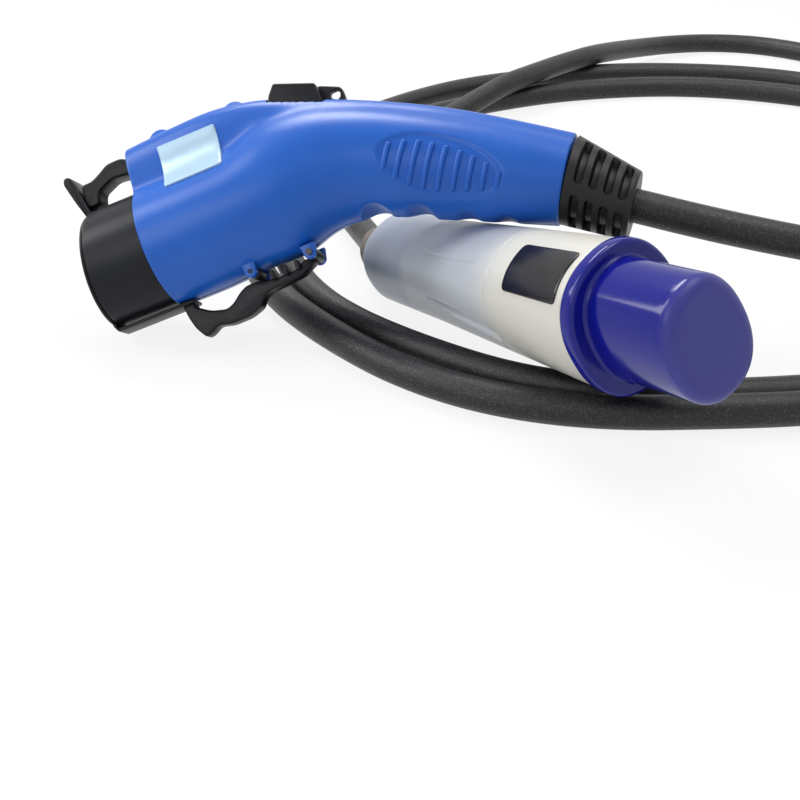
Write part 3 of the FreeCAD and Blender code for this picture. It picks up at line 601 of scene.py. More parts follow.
def badge_silver():
    """Pale silver-blue badge under a clear dome, plain all over."""
    finish = Finish("badge_silver")
    stretched = {"Vector": finish.place(), "Scale": (60.0, 900.0, 900.0)}
    brushed = finish.node("ShaderNodeMapping", inputs=stretched)
    lines = finish.noise(4.0, 3.0, where=brushed)
    return finish.close(
        Base_Color=finish.blend(lines, srgb(176, 203, 222), srgb(160, 190, 212)),
        Metallic=0.2,
        Roughness=lines * 0.08 + 0.26,
        Normal=finish.bump(lines, 0.00001),
        Specular_IOR_Level=0.4,
    )


def plug_plastic(name):
    """Plug plastic by distance along it: a darker blue-grey at the rear, painted in as shade under the
    handle, then grey, then cream at the front.
    """
    finish = Finish(name)
    along = finish.marked("along")
    clouds = finish.noise(26.0, 3.0)
    fine = finish.noise(9000.0, 2.0, 0.6)
    drift = (clouds - 0.5) * 5.0 + along
    grey = finish.blend(clouds * 0.5, srgb(188, 193, 200), srgb(180, 185, 193))
    # painted shade: the rear end is a darker blue-grey, as shade under the handle
    base = finish.blend(drift.above(33.0, 40.0), srgb(162, 171, 184), grey)
    base = finish.blend(drift.above(78.0, 98.0), base, srgb(207, 205, 196))
    return finish.close(
        Base_Color=base,
        Roughness=fine * 0.05 + clouds * 0.08 + 0.24,
        Normal=finish.bump(fine, 0.000008),
        Specular_IOR_Level=0.45,
    )


def floor_white():
    """White paper floor. The eye, mirrors and glass see most of it as pure white, the rest as it is
    lit, so that shadows stay."""
    finish = Finish("floor_white")
    grain = finish.noise(900.0, 2.0)
    lit = finish.node("ShaderNodeBsdfDiffuse", inputs={
        "Color": (0.86, 0.86, 0.86, 1.0), "Normal": finish.bump(grain, 0.00002),
    })
    glow = finish.node("ShaderNodeEmission", inputs={"Color": (1.0, 1.0, 1.0, 1.0), "Strength": 1.0})
    mixed = finish.node("ShaderNodeMixShader", inputs={0: finish.rays() * FLOOR_GLOW, 1: lit, 2: glow})
    finish.end("ShaderNodeOutputMaterial", mixed)
    return finish.material


# the lead and the camera come first

def make_camera():
    """The photo's own viewpoint."""
    lens = bpy.data.cameras.new("camera")
    lens.lens = CAMERA_LENS
    lens.sensor_width = 36.0
    lens.clip_start = 0.01
    camera = bpy.data.objects.new("camera", lens)
    camera.location = on_table((0.0, 0.0, CAMERA_HIGH))
    camera.rotation_euler = (math.radians(90 - CAMERA_DOWN), 0.0, 0.0)
    bpy.context.scene.collection.objects.link(camera)
    bpy.context.scene.camera = camera
    return camera


# The lead's turns as they lie, clockwise from above, in layout millimetres, height left out where it
# lies on the table: from the plug round the coil two and a half times, the last pass crossing over the
# others and back, then up over the turns to the connector.
LEAD_ROUND = [
    (-24, 570), (-34, 606), (-35, 640), (-26, 668), (-12, 692), (6, 714), (30, 736), (58, 755),
    (88, 771), (122, 781), (154, 785), (184, 781.5), (212, 772), (238, 757.5), (260, 737.5), (278, 712),
    (291, 683), (298, 652), (300, 620), (297, 588), (290, 552), (279, 516), (264, 482), (245, 452),
    (222, 428), (196, 411), (166, 399.5), (134, 393.5), (104, 390.5), (78, 391.6), (56.5, 395.4),
    (34, 404.4), (9, 423.6), (-12.8, 444.8), (-29.1, 467), (-40.9, 494.3), (-48.5, 526), (-54, 558),
    (-54.5, 592), (-51, 626), (-43, 660), (-31, 694), (-14, 726), (8, 754), (33, 778), (58, 793),
    (88, 806), (120, 815.5), (152, 818.5), (184, 816), (214, 808), (242, 793), (268, 769), (288, 738),
    (302, 702), (309, 664), (310, 624), (306.5, 584), (298, 544), (286, 506), (269, 470), (247, 438),
    (222, 414), (194, 397.5), (162, 387.5), (128, 381.5), (98, 379.6), (72, 378.8), (46.8, 382.6),
    (22.8, 392.2), (0.5, 408.7), (-16.9, 428.6), (-32.7, 450.3), (-45.1, 471.4), (-56, 498), (-63, 530),
    (-66.5, 562), (-66, 586, 6.5), (-63, 608, 10), (-55, 628, 15.5), (-43, 645, 17.8), (-29, 658, 17.8),
    (-14, 671, 15), (-1, 687, 8.5), (14, 703, 6), (28, 717, 7.5), (43, 731, 12.5), (59, 745, 17.6),
    (75, 764.5, 17.9), (88, 781.5, 17.9), (101, 796.5, 17.9), (113.5, 811.5, 17.5), (126.5, 830, 15.2),
    (141, 851, 12), (156, 869.5, 9.2), (176, 887, 7), (203, 897.5), (232, 892), (258, 872), (280, 842),
    (298, 806), (312, 766), (321, 724), (324.5, 682), (322, 652),
]
LEAD_UP = [
    (318, 634, 7.5), (314, 614, 11.5), (309, 590, 16.5), (303, 560, 17.4), (282, 502, 20.5),
    (240, 452, 27.5), (190, 424, 35.5), (140, 425.5, 44.3), (112, 427.8, 49.4), (94, 430.4, 52.9),
]


def make_lead():
    """One smooth curve from the plug's boot through the coil to the connector."""
    tail = bent_boot([[PLUG_START - BOOT_LONG + d, 0.0, 0.0] for d in (1.0, -12.0, -30.0)])
    flat = [on_table((*p, CABLE_D / 2)[:3]) for p in LEAD_ROUND + LEAD_UP]
    root = drooping_relief(np.array([[RELIEF_LONG + 7.0, 0.0, 0.0], [RELIEF_LONG - 1.5, 0.0, 0.0]]))
    points = [*tail, *flat, *root]
    curve = bpy.data.curves.new("lead", "CURVE")
    curve.dimensions = "3D"
    spline = curve.splines.new("NURBS")
    spline.points.add(len(points) - 1)
    for point, at in zip(spline.points, points):
        point.co = (*[float(v) for v in at], 1.0)
    spline.order_u = 3
    spline.use_endpoint_u = True
    spline.resolution_u = 6
    curve.bevel_depth = CABLE_D / 2 * MM
    curve.bevel_resolution = 6
    curve.use_fill_caps = True
    lead = bpy.data.objects.new("lead", curve)
    bpy.context.scene.collection.objects.link(lead)
    return lead, points


# connector

# low and high point in the connector's frame, centre over the low point, half width, upper half
# height, half width of the narrow top
HEAD_STATIONS = (
    ((NOSE_REACH, -HEAD_R), (NOSE_REACH, 37.4), HEAD_R, HEAD_R, HEAD_R, 12.2),
    ((43.0, -22.3), (43.0, 38.5), 22.3, 22.4, 22.4, 12.2),
    ((60.0, -21.2), (60.0, 38.6), 21.6, 22.2, 23.0, 12.0),
)
HANDLE_STATIONS = (
    ((75.8, 14.2), (52.2, 65.8), 22.5, 21.4, 27.0, 11.6),
    ((85.6, 22.8), (68.6, 67.2), 22.0, 19.6, 23.2, 10.6),
    ((95.6, 27.8), (84.8, 68.2), 20.6, 18.2, 19.8, 9.6),
    ((107.4, 29.8), (101.2, 68.6), 19.4, 17.5, 18.4, 8.6),
    ((123.6, 30.2), (119.8, 68.0), 18.6, 17.2, 17.8, 8.6),
    ((142.0, 30.8), (139.0, 66.0), 17.4, 16.6, 16.8, 8.4),
    ((163.2, 31.4), (166.0, 62.2), 15.2, 15.8, 14.6, 8.0),
)


def station_table():
    """All stations as rows of eight numbers in the connector's frame."""
    head_rows = [
        [*swung(*low, HEAD_TILT), *swung(*high, HEAD_TILT), *sizes] for low, high, *sizes in HEAD_STATIONS
    ]
    return np.array(head_rows + [[*low, *high, *sizes] for low, high, *sizes in HANDLE_STATIONS])


def stations_at(where):
    """Stations at fractional places: the smooth cubic through each four neighbours, the end ones
    doubled."""
    table = station_table()
    padded = np.vstack([table[:1], table, table[-1:]])
    i = np.clip(where.astype(int), 0, len(table) - 2)
    u = (where - i)[:, None]
    a, b, c, d = padded[i], padded[i + 1], padded[i + 2], padded[i + 3]
    return b + 0.5 * u * (c - a + u * (2 * a - 5 * b + 4 * c - d + u * (3 * (b - c) + d - a)))


def outline_radius(sizes, height, angle, inset=0.0):
    """Radius of a station's outline at an angle (0 at the viewer's side, 90 degrees at the top). It
    melts a round part and a narrow top, as the sixteenth root of the sum of their sixteenth powers;
    the round part is an ellipse, the top a fourth-power one."""
    down, half, over, top = sizes
    side, up = np.cos(angle), np.sin(angle)
    tall = np.where(up > 0, over, down) - inset
    round_r = 1 / np.hypot(side / (half - inset), up / tall)
    crown = np.where(up > 0, height - down, 0.6 * down) - inset
    narrow_r = ((np.abs(side) / (top - inset)) ** 4 + (np.abs(up) / crown) ** 4) ** -0.25
    return (round_r ** 16 + narrow_r ** 16) ** (1 / 16)


def skin(where, inset, along, angle):
    """Points of the housing's skin by row and angle. inset shrinks the row and along shifts it towards
    the rear."""
    row = stations_at(where)
    low, high = row[:, 0:2], row[:, 2:4]
    sizes = [row[:, k:k + 1] for k in (4, 5, 6, 7)]
    rise = high - low
    height = np.linalg.norm(rise, axis=1, keepdims=True)
    rise = rise / height
    onward = np.stack([rise[:, 1], -rise[:, 0]], -1)
    centre = low + rise * sizes[0] + onward * along[:, None]
    radius = outline_radius(sizes, height, angle[None], inset[:, None])
    flat = centre[:, None] + rise[:, None] * (radius * np.sin(angle))[..., None]
    return np.concatenate([flat, (radius * np.cos(angle))[..., None]], -1)


def box_share(x, y, half_x, half_y, corner, soft):
    """1 inside a rounded rectangle about the origin, 0 outside, over a soft edge: a smooth step of the
    distance to its outline."""
    qx, qy = np.abs(x) - half_x + corner, np.abs(y) - half_y + corner
    outside = np.hypot(np.maximum(qx, 0), np.maximum(qy, 0)) + np.minimum(np.maximum(qx, qy), 0) - corner
    return 1 - step(outside, -soft / 2, soft / 2)


def grip_relief(x, y):
    """Share of the grip's depth: 1 inside its oval, a soft step of the elliptical distance at the rim."""
    along, across = swung(x - GRIP_CENTRE[0], y - GRIP_CENTRE[1], -GRIP_TILT)
    return 1 - step(np.hypot(along / (GRIP_LONG / 2), across / (GRIP_HIGH / 2)), 0.90, 1.04)


def latch_opening(x, z):
    """1 over the button's and the padlock tab's openings in the handle's top, 0 outside them."""
    well = box_share(x - BUTTON_WELL[0], z, BUTTON_WELL[1], BUTTON_HALF + BUTTON_GAP, 1.2, 0.5)
    slot = box_share(x - TAB_SLOT[0], z, TAB_SLOT[1], TAB_HALF + BUTTON_GAP, 0.8, 0.5)
    return np.maximum(well, slot)


def dress_skin(points, outward):
    """The housing's small forms on its smooth skin: grip, finger scallops, crown bosses, button and tab
    openings, screw wells, and the line where the halves meet."""
    x, y, z = points[..., 0], points[..., 1], points[..., 2]
    near = step(np.abs(z), 6.0, 9.0)
    sink = GRIP_DEPTH * grip_relief(x, y) * near
    seam = 0.45 * np.exp(-(z / 0.30) ** 2)
    for at_x, at_y in SCREW_AT:
        well = 1 - step(np.hypot(x - at_x, y - at_y), SCREW_WELL_R - 0.3, SCREW_WELL_R + 0.1)
        z = np.where(z < 0, z + well * (np.minimum(SCREW_WELL_FLOOR, 0) - z), z)
    points = np.stack([x, y, z], -1) - outward * (sink + seam)[..., None]
    x, y, z = points[..., 0], points[..., 1], points[..., 2]
    for finger, high in FINGERS:
        reach = FINGER_R ** 2 - (x - finger) ** 2
        top = high - FINGER_R + np.sqrt(np.maximum(reach, 0))
        gap = np.where((reach > 0) & (y < 40), top - y, -9.0)
        y = y + np.where(gap > -2.5, (gap + np.sqrt(gap ** 2 + 0.6)) / 2 - 0.059, 0.0).clip(0)
    s, t = swung(x, y, -HEAD_TILT)
    for at_s, at_t in CROWN_BOSSES:
        reach = CROWN_BOSS_R ** 2 - (s - at_s) ** 2
        top = at_t + np.sqrt(np.maximum(reach, 0))
        lift = np.maximum(top - t, 0) * (reach > 0) * (t > 30) * (1 - step(np.abs(z), 4.1, 5.1))
        shift_x, shift_y = swung(0.0, lift, HEAD_TILT)
        x, y = x + shift_x, y + shift_y
    y = y - 4.0 * latch_opening(x, z) * (y > 56)
    return np.stack([x, y, z], -1)


def rows_of_skin():
    """Rows from inside the front rim, round its edge, along the body and round the rear edge: place
    among the stations, inset, shift towards the rear."""
    edge = np.linspace(0, math.pi / 2, 5)
    rim = [(0.0, 2.3, 7.0), (0.0, 2.3, 1.2), (0.0, 2.2, 0.35), (0.0, 1.95, 0.06), (0.0, 1.6, 0.0)]
    rim += [(0.0, 0.8 * (1 - math.sin(q)), 0.8 * (1 - math.cos(q))) for q in edge]
    where = np.concatenate([np.linspace(0, 4.5, 170)[3:-1], np.linspace(4.5, 9, 300)[:-3]])
    body = [(w, 0.0, 0.0) for w in where]
    tail = [(9.0, 0.9 * (1 - math.cos(q)), -0.9 * (1 - math.sin(q))) for q in edge]
    tail += [(9.0, 2.2, 0.0), (9.0, 4.6, 0.0), (9.0, 4.9, -3.0)]
    return np.array(rim + body + tail).T


def make_shell(side, finish):
    """One half of the housing as a skin with a wall behind it, open under the latch's button and
    tab."""
    where, inset, along = rows_of_skin()
    crowd = np.linspace(-1, 1, 169)
    angle = (crowd + 0.055 * np.sin(math.pi * crowd)) * math.pi / 2
    smooth = skin(where, inset, along, angle)
    smooth[..., 2] = np.maximum(smooth[..., 2], 0.0)
    nudged = skin(where, inset + 0.05, along, angle)
    outward = smooth - nudged
    outward /= np.linalg.norm(outward, axis=2, keepdims=True) + 1e-9
    mirror = np.array([1.0, 1.0, side])
    points = dress_skin(smooth * mirror, outward * mirror)
    points[:, 0, 2] = points[:, -1, 2] = 0.0
    faces = grid_faces(*points.shape[:2])
    sunk = (latch_opening(points[..., 0], points[..., 2]) > 0.98) & (points[..., 1] > 50)
    faces = faces[~sunk.ravel()[faces].all(1)]
    name = "housing_near" if side > 0 else "housing_far"
    node = "shell_near" if side > 0 else "shell_far"
    return piece(name, [(points, faces)], finish, "housing", (node,), gun, 55, 1.5)


def hanging(at, radius, root, inner, outer):
    """Two hanging eyes, one on each side: a rounded plate under a point, its root going up."""
    bow = arc(at, radius, np.radians(np.linspace(180, 360, 17)))
    outline = [*bow, (at[0] + 1.3 * radius, at[1] + root), (at[0] - 1.3 * radius, at[1] + root)]
    return [plate(outline, *sorted((side * inner, side * outer)), 0.4, 0.5) for side in (-1, 1)]


def make_lugs(blue):
    """Small blue lugs for the flip cap's spring pin and eyes for its hinge pin."""
    lugs = hanging(LUG_AT, LUG_R, 4.0, LUG_IN, LUG_OUT)
    eyes = hanging(CAP_PIVOT, EAR_R, 3.2, EAR_IN, EAR_OUT)
    piece("spring_lugs", lugs, blue, "housing", (), head)
    piece("hinge_eyes", eyes, blue, "housing", (), head)


def make_nose(finish):
    """The black barrel: a line round its wall, closed on itself, turned about the axis, its front
    leaning back towards the top by a slant that fades out along the first part of its length."""
    line = rounded([
        (NOSE_REACH + 16, NOSE_BORE_R), (NOSE_REACH + 16, 20.6), (NOSE_REACH + 0.4, NOSE_R),
        (NOSE_FRONT, NOSE_R), (NOSE_FRONT, NOSE_BORE_R),
    ], 0.7)
    points, faces = lathe(line, 160, closed=True)
    points[:, 0] += NOSE_SLANT * points[:, 1] * (1 - step(points[:, 0], 6.0, 22.0))
    return piece("nose", [(points, faces)], finish, "housing", ("nose_barrel",), head)


def make_lever(finish):
    """Latch arm with its claw in front of the housing, as a rounded plate."""
    outline = [
        (3.8, 31.9), (3.6, 24.0), (5.0, 22.7), (8.8, 22.8), (9.8, 27.2), (16.0, 29.8), (30.0, 28.2),
        (41.2, 26.4), (60.0, 22.4), (89.0, 19.0), (89.0, 23.2), (64.0, 28.0), (41.2, 34.0),
        (24.6, 33.6), (21.4, 35.8), (15.4, 35.7), (11.4, 33.4), (8.0, 31.8),
    ]
    parts = [plate(outline, -LEVER_HALF, LEVER_HALF, 0.8, 1.6)]
    return piece("latch_arm", parts, finish, "latch", ("latch_lever",), head)


def make_latch_pin(finish):
    """The latch's pin, its ends just under the housing's skin."""
    parts = [pin(LATCH_PIVOT, LATCH_PIN_R, LATCH_PIN_HALF)]
    return piece("latch_pivot_pin", parts, finish, "housing", ("latch_pin",), head)


def make_button(finish):
    """Thumb button with sloped ends, and behind it the thin tab with a round hole for a padlock."""
    outline = [
        (59.0, 55.0), (76.8, 55.0), (76.8, 66.6), (73.2, 72.8), (57.9, 71.5), (56.9, 66.8), (57.3, 60.0),
    ]
    parts = [plate(outline, -BUTTON_HALF, BUTTON_HALF, 0.7, 1.0)]
    tab = rounded([
        (72.0, 65.0), (84.2, 65.0), (83.8, 69.0), (81.4, 73.6), (72.6, 73.4), (72.0, 71.0),
    ], 1.6, 6)
    hole = arc(PADLOCK_AT, PADLOCK_R, np.arctan2(tab[:, 1] - PADLOCK_AT[1], tab[:, 0] - PADLOCK_AT[0]))
    edge = 0.35
    inner = TAB_HALF - edge
    rings = []
    for line, shrink, z in (
        (hole, 0.0, -inner), (hole, -edge, -TAB_HALF), (tab, edge, -TAB_HALF), (tab, 0.0, -inner),
        (tab, 0.0, inner), (tab, edge, TAB_HALF), (hole, -edge, TAB_HALF), (hole, 0.0, inner),
    ):
        flat = line - side_of(line) * shrink
        rings.append(np.concatenate([flat, np.full((len(flat), 1), z)], -1))
    parts.append(surface(np.array(rings), True, True))
    return piece("latch_thumb_button", parts, finish, "latch", ("latch_button",), gun)


def make_flip_cap(finish):
    """Round lid on the nose, its face leaning a little, its lift tab, the strip under the nose, and the
    bent bar, ribbed towards its end, back to the hinge."""
    under = -(HEAD_R + 0.35)
    points, faces = lathe(softened([
        (LID_FRONT, 0.0), (LID_FRONT, LID_R), (LID_BACK, LID_R), (LID_BACK, 0.0),
    ], 0.8), 128)
    points[:, 0] += NOSE_SLANT * points[:, 1]
    points[:, 1] -= LID_DROP
    tab = plate([
        (3.6, 15.0), (2.6, 20.0), (0.4, 26.0), (-2.0, 34.2), (-1.2, 36.4), (1.0, 36.2), (2.6, 32.0),
        (3.7, 26.0), (5.0, 20.2), (4.9, 15.0),
    ], -LIFT_TAB_HALF, LIFT_TAB_HALF, 0.9, 1.2)
    strip = plate([
        (-0.2, -19.0), (1.0, -19.0), (1.0, under), (31.2, under), (31.2, under - 1.3),
        (1.0, under - 1.3), (-0.4, -21.4),
    ], -CAP_ARM_HALF, CAP_ARM_HALF, 0.4, 0.6)
    bar = plate([
        (25.8, under), (30.4, under), (30.4, -25.4), (35.7, -28.8), (41.2, -30.3), (44.2, -29.2),
        (47.3, -26.6), (50.3, -25.0), (54.9, -24.9), (61.4, -26.4), (69.6, -26.2), (74.0, -23.6),
        (77.6, -25.8), (71.4, -28.8), (66.0, -29.4), (58.0, -30.0), (55.4, -31.4), (53.4, -34.2),
        (48.4, -35.8), (41.3, -36.0), (36.4, -34.7), (33.8, -36.4), (31.0, -37.2), (28.3, -33.0),
        (27.0, -29.0),
    ], -CAP_BAR_HALF, CAP_BAR_HALF, 0.8, 1.4)
    ribs = []
    for s in (60.5, 65.5, 70.0):
        rib = [(s, -27.0), (s, -23.4), (s + 1.5, -23.6), (s + 1.5, -27.0)]
        ribs.append(plate(rib, -CAP_KNUCKLE_HALF, CAP_KNUCKLE_HALF, 0.3, 0.4))
    knuckle = pin(CAP_PIVOT, CAP_KNUCKLE_R, CAP_KNUCKLE_HALF)
    parts = [(points, faces), tab, strip, bar, knuckle, *ribs]
    return piece("flip_lid", parts, finish, "flip_cover", ("flip_cap",), head)


def make_relief(finish):
    """Tapered strain relief: a cone whose radius drops by the slot depth inside rounded windows, four
    along each quarter of its girth, turned as the real one is."""
    x = np.linspace(0, RELIEF_LONG - 0.8, 110)[:, None]
    angle = np.linspace(0, TAU, 288, endpoint=False)
    taper = RELIEF_R0 + (RELIEF_R1 - RELIEF_R0) * x / RELIEF_LONG
    girth = (np.mod(angle, TAU / 4) - TAU / 8) * taper
    half_window = taper * TAU / 8 - SLOT_WEB
    sunk = np.zeros_like(girth)
    for k in range(SLOT_COUNT):
        middle = SLOT_FIRST + k * SLOT_PITCH
        sunk = np.maximum(sunk, box_share(x - middle, girth, SLOT_WIDE / 2, half_window, 1.1, 0.45))
    front = np.array([(-5.0, 0.0), (-5.0, 10.3), (0.0, 10.3)])
    end = softened([
        (RELIEF_LONG - 0.8, RELIEF_R1 + 0.1), (RELIEF_LONG, RELIEF_R1 - 0.2), (RELIEF_LONG, 6.3),
        (RELIEF_LONG - 1.0, 5.85), (RELIEF_LONG - 6.0, 5.85),
    ], 0.35)
    rear = np.vstack([end[1:], [(RELIEF_LONG - 6.0, 0.0)]])
    points = np.concatenate([
        about_x(front[:, :1], front[:, 1:], angle),
        about_x(x, taper - SLOT_DEEP * sunk, angle),
        about_x(rear[:, :1], rear[:, 1:], angle),
    ])
    part = surface(turn(points, 0, RELIEF_TWIST), wrap_cols=True)
    return piece("strain_relief_boot", [part], finish, "housing",
                 ("strain_relief",), drooping_relief, 50)


def side_height(x, y, first, last):
    """The viewer-side skin over points of the connector's middle plane: among the rows first to last,
    the one whose plane holds the point is found, the angle on it by halving, and its side coordinate
    is the height."""
    fine = np.linspace(first, last, 601)
    rows = stations_at(fine)
    ground = np.linalg.norm(rows[:, 2:4] - rows[:, 0:2], axis=1)
    onward = np.stack([(rows[:, 3] - rows[:, 1]) / ground, -(rows[:, 2] - rows[:, 0]) / ground], -1)
    ahead = (x[..., None] - rows[:, 0]) * onward[:, 0] + (y[..., None] - rows[:, 1]) * onward[:, 1]
    k = np.clip((ahead > 0).sum(-1) - 1, 0, len(fine) - 2)
    here = np.take_along_axis(ahead, k[..., None], -1)[..., 0]
    beyond = np.take_along_axis(ahead, k[..., None] + 1, -1)[..., 0]
    where = fine[k] + (fine[1] - fine[0]) * here / (here - beyond + 1e-12)
    row = stations_at(where.ravel()).reshape(*where.shape, 8)
    rise = row[..., 2:4] - row[..., 0:2]
    height = np.linalg.norm(rise, axis=-1)
    sizes = [row[..., k] for k in (4, 5, 6, 7)]
    up_wanted = ((x - row[..., 0]) * rise[..., 0] + (y - row[..., 1]) * rise[..., 1]) / height - sizes[0]
    low, high = np.full_like(where, -math.pi / 2), np.full_like(where, math.pi / 2)
    for _ in range(26):
        angle = (low + high) / 2
        radius = outline_radius(sizes, height, angle)
        over = radius * np.sin(angle) > up_wanted
        high, low = np.where(over, angle, high), np.where(over, low, angle)
    return radius * np.cos(angle)


def flank(s, t):
    """The same over a point of the head's own plane."""
    return side_height(*swung(s, t, HEAD_TILT), 0.0, 4.0)


def make_grip_ribs(finish):
    """Raised ribs on both grips: half-round ridges with round ends, standing on the oval's floor."""
    parts = []
    phi = np.linspace(-math.pi / 2, math.pi / 2, 9)
    quarter = np.linspace(0, math.pi / 2, 6)
    for upper, lower in GRIP_RIBS:
        upper, lower = np.array(upper), np.array(lower)
        long = np.linalg.norm(upper - lower)
        way = (upper - lower) / long
        end = GRIP_RIB_R * (1 - np.cos(quarter))
        u = np.concatenate([end, np.linspace(GRIP_RIB_R, long - GRIP_RIB_R, 22)[1:-1], long - end[::-1]])
        past = np.maximum(np.abs(u - long / 2) - long / 2 + GRIP_RIB_R, 0)
        half = np.sqrt(np.maximum(GRIP_RIB_R ** 2 - past ** 2, 0))
        across = half[:, None] * np.sin(phi)
        x = lower[0] + u[:, None] * way[0] + across * way[1]
        y = lower[1] + u[:, None] * way[1] - across * way[0]
        base = side_height(x, y, 3.0, 9.0) - GRIP_DEPTH - 0.15
        z = base + (GRIP_DEPTH + 0.45) * np.sqrt(half / GRIP_RIB_R)[:, None] * np.cos(phi) ** 0.45
        for side in (1, -1):
            parts.append(surface(np.stack([x, y, side * z], -1)))
    return piece("grip_ribs", parts, finish, "housing", (), gun, 70)


def make_badge(finish):
    """Blank badge on the head's flank: a rounded rectangle of rings, domed a little, its rim turned down
    into the housing. It lies on the full quadratic in s and t that fits the skin under it best."""
    s0, s1 = BADGE_S
    t0, t1 = BADGE_T
    outline = dense(rounded([(s0, t0), (s1, t0), (s1, t1), (s0, t1)], 0.8, 5))
    rings = [1.0, 1.0, 0.998, 0.985, 0.965, 0.93, 0.8, 0.6, 0.4, 0.2, 0.02, 0.0]
    lift = [-1.0, 0.45, 0.72, 0.92, 1.0, 1.04, 1.08, 1.1, 1.12, 1.13, 1.13, 1.13]

    spread_s, spread_t = np.meshgrid(np.linspace(s0, s1, 12), np.linspace(t0, t1, 9))
    a, b = spread_s.ravel() - s0, spread_t.ravel() - t0
    terms = np.stack([np.ones_like(a), a, b, a * a, a * b, b * b], -1)
    k = np.linalg.lstsq(terms, flank(spread_s, spread_t).ravel(), rcond=None)[0]

    def shape(s, t, up):
        a, b = s - s0, t - t0
        z = k[0] + k[1] * a + k[2] * b + k[3] * a * a + k[4] * a * b + k[5] * b * b
        slope_s, slope_t = k[1] + 2 * k[3] * a + k[4] * b, k[2] + k[4] * a + 2 * k[5] * b
        normal = np.stack([-slope_s, -slope_t, np.ones_like(z)], -1)
        normal /= np.linalg.norm(normal, axis=-1, keepdims=True)
        return np.stack([s, t, z], -1) + normal * (up * BADGE_THICK)[..., None]

    part = disc(outline, lift, rings, shape)
    return piece("badge", [part], finish, "housing", ("badge_plate",), head, 60)


# supply plug

def superellipse(wide, high, angle):
    """Radius at an angle of the oval with those half axes: the root of PLUG_POWER of the sum of that
    power of cosine over half width and of sine over half height, and one over it."""
    across = np.abs(np.cos(angle) / np.maximum(wide, 1e-6)) ** PLUG_POWER
    upward = np.abs(np.sin(angle) / np.maximum(high, 1e-6)) ** PLUG_POWER
    return (across + upward) ** (-1 / PLUG_POWER)


def plug_point(d, angle, out=0.0):
    """A point of the plug's skin: at distance d along the axis the half width and half height are read
    between the rings, and the radius at an angle is their oval's, plus out."""
    at, wide, high = np.array(PLUG_RINGS).T
    radius = superellipse(np.interp(d, at, wide), np.interp(d, at, high), angle) + out
    return about_x(d, radius, angle)


def oval_tube(profile, around):
    """Ovals about the plug's axis by rows of (along, half width, half height), the last row joined to
    the first."""
    d, wide, high = np.asarray(profile, float).T[..., None]
    angle = np.linspace(0, TAU, around, endpoint=False)
    return surface(about_x(d, superellipse(wide, high, angle), angle), True, True)


def leaf(d, angle):
    """How far the leaf-shaped finger recess is let in: a narrow lens between two points of the flank,
    deepest along its lower edge."""
    u = np.clip((d - LEAF_START[0]) / (LEAF_END[0] - LEAF_START[0]), 0, 1)
    middle = LEAF_START[1] + (LEAF_END[1] - LEAF_START[1]) * u
    off = (np.degrees(angle) - middle - 1.0 * np.sin(math.pi * u)) / 9.5
    reach = np.sin(math.pi * u) ** 0.75
    inside = 1 - step(np.abs(off), 0.55 * reach, 0.80 * reach + 0.16)
    return inside * (0.45 + 0.55 * step(off, -0.9, 0.7)) * step(reach, 0.04, 0.5)


def plug_piece(name, part, finish, body, node):
    """A piece of the plug that stores on each point how many millimetres it lies along the axis."""
    made = piece(name, [part], finish, body, (node,), plug, 50)
    origin, ahead = plug(np.array([[0.0, 0, 0], [1.0, 0, 0]]))
    co = np.zeros(len(made.data.vertices) * 3)
    made.data.vertices.foreach_get("co", co)
    along = (co.reshape(-1, 3) - origin) @ (ahead - origin) / np.dot(ahead - origin, ahead - origin)
    mark = made.data.attributes.new("along", "FLOAT", "POINT")
    mark.data.foreach_set("value", along.astype(np.float32))
    return made


def make_plug_body(finish):
    """Grey rear body: rounded rear edge, the leaf recess, the fine moulding line on both flanks and the
    rear half of the seam with the collar."""
    edge = np.linspace(0, math.pi / 2, 9)
    d = PLUG_START + np.concatenate([np.zeros(3), PLUG_REAR_ROUND * (1 - np.cos(edge))])
    inset = np.concatenate([[16.0, 9.0, 5.5], PLUG_REAR_ROUND * (1 - np.sin(edge))])
    rest = np.linspace(PLUG_START + PLUG_REAR_ROUND, PLUG_SEAM - 0.4, 200)[1:]
    d = np.concatenate([d, rest, [PLUG_SEAM - 0.15, PLUG_SEAM, PLUG_SEAM]])
    inset = np.concatenate([inset, np.zeros(len(rest)), [0.10, 0.22, 2.4]])
    angle = np.linspace(0, TAU, 320, endpoint=False)
    dd, aa = np.meshgrid(d, angle, indexing="ij")
    flow = np.degrees(aa)
    line = np.minimum(np.abs(flow - MOULDING_ANGLE), np.abs(flow - MOULDING_ANGLE + 180.0))
    groove = 0.42 * np.exp(-(line / 0.9) ** 2) * step(dd, 48, 52) * (1 - step(dd, 78, 84))
    points = plug_point(dd, aa, -(inset[:, None] + groove + 2.6 * leaf(dd, aa)))
    points[0, :, 1:] = 0.0
    closing = points[-1:].copy()
    closing[..., 1:] = 0.0
    part = surface(np.concatenate([points, closing]), wrap_cols=True)
    return plug_piece("plug_rear_body", part, finish, "housing", "plug_body")


def make_plug_collar(finish):
    """Cream front collar with a rounded rear lip that stands a little over the body."""
    d0, d1 = PLUG_SEAM, PLUG_FRONT
    rows = [(d0 + 0.02, -2.4), (d0 + 0.02, -0.20), (d0 + 0.15, -0.06), (d0 + 0.4, 0.0)]
    rows += [(d, 0.0) for d in np.linspace(d0 + 1.2, d1 - 0.5, 40)]
    rows += [(d1 - 0.15, -0.15), (d1, -0.5), (d1, -2.4)]
    d, out = np.array(rows).T
    angle = np.linspace(0, TAU, 180, endpoint=False)
    dd, aa = np.meshgrid(d, angle, indexing="ij")
    part = surface(plug_point(dd, aa, out[:, None]), True, True)
    return plug_piece("plug_front_collar", part, finish, "housing", "plug_collar")


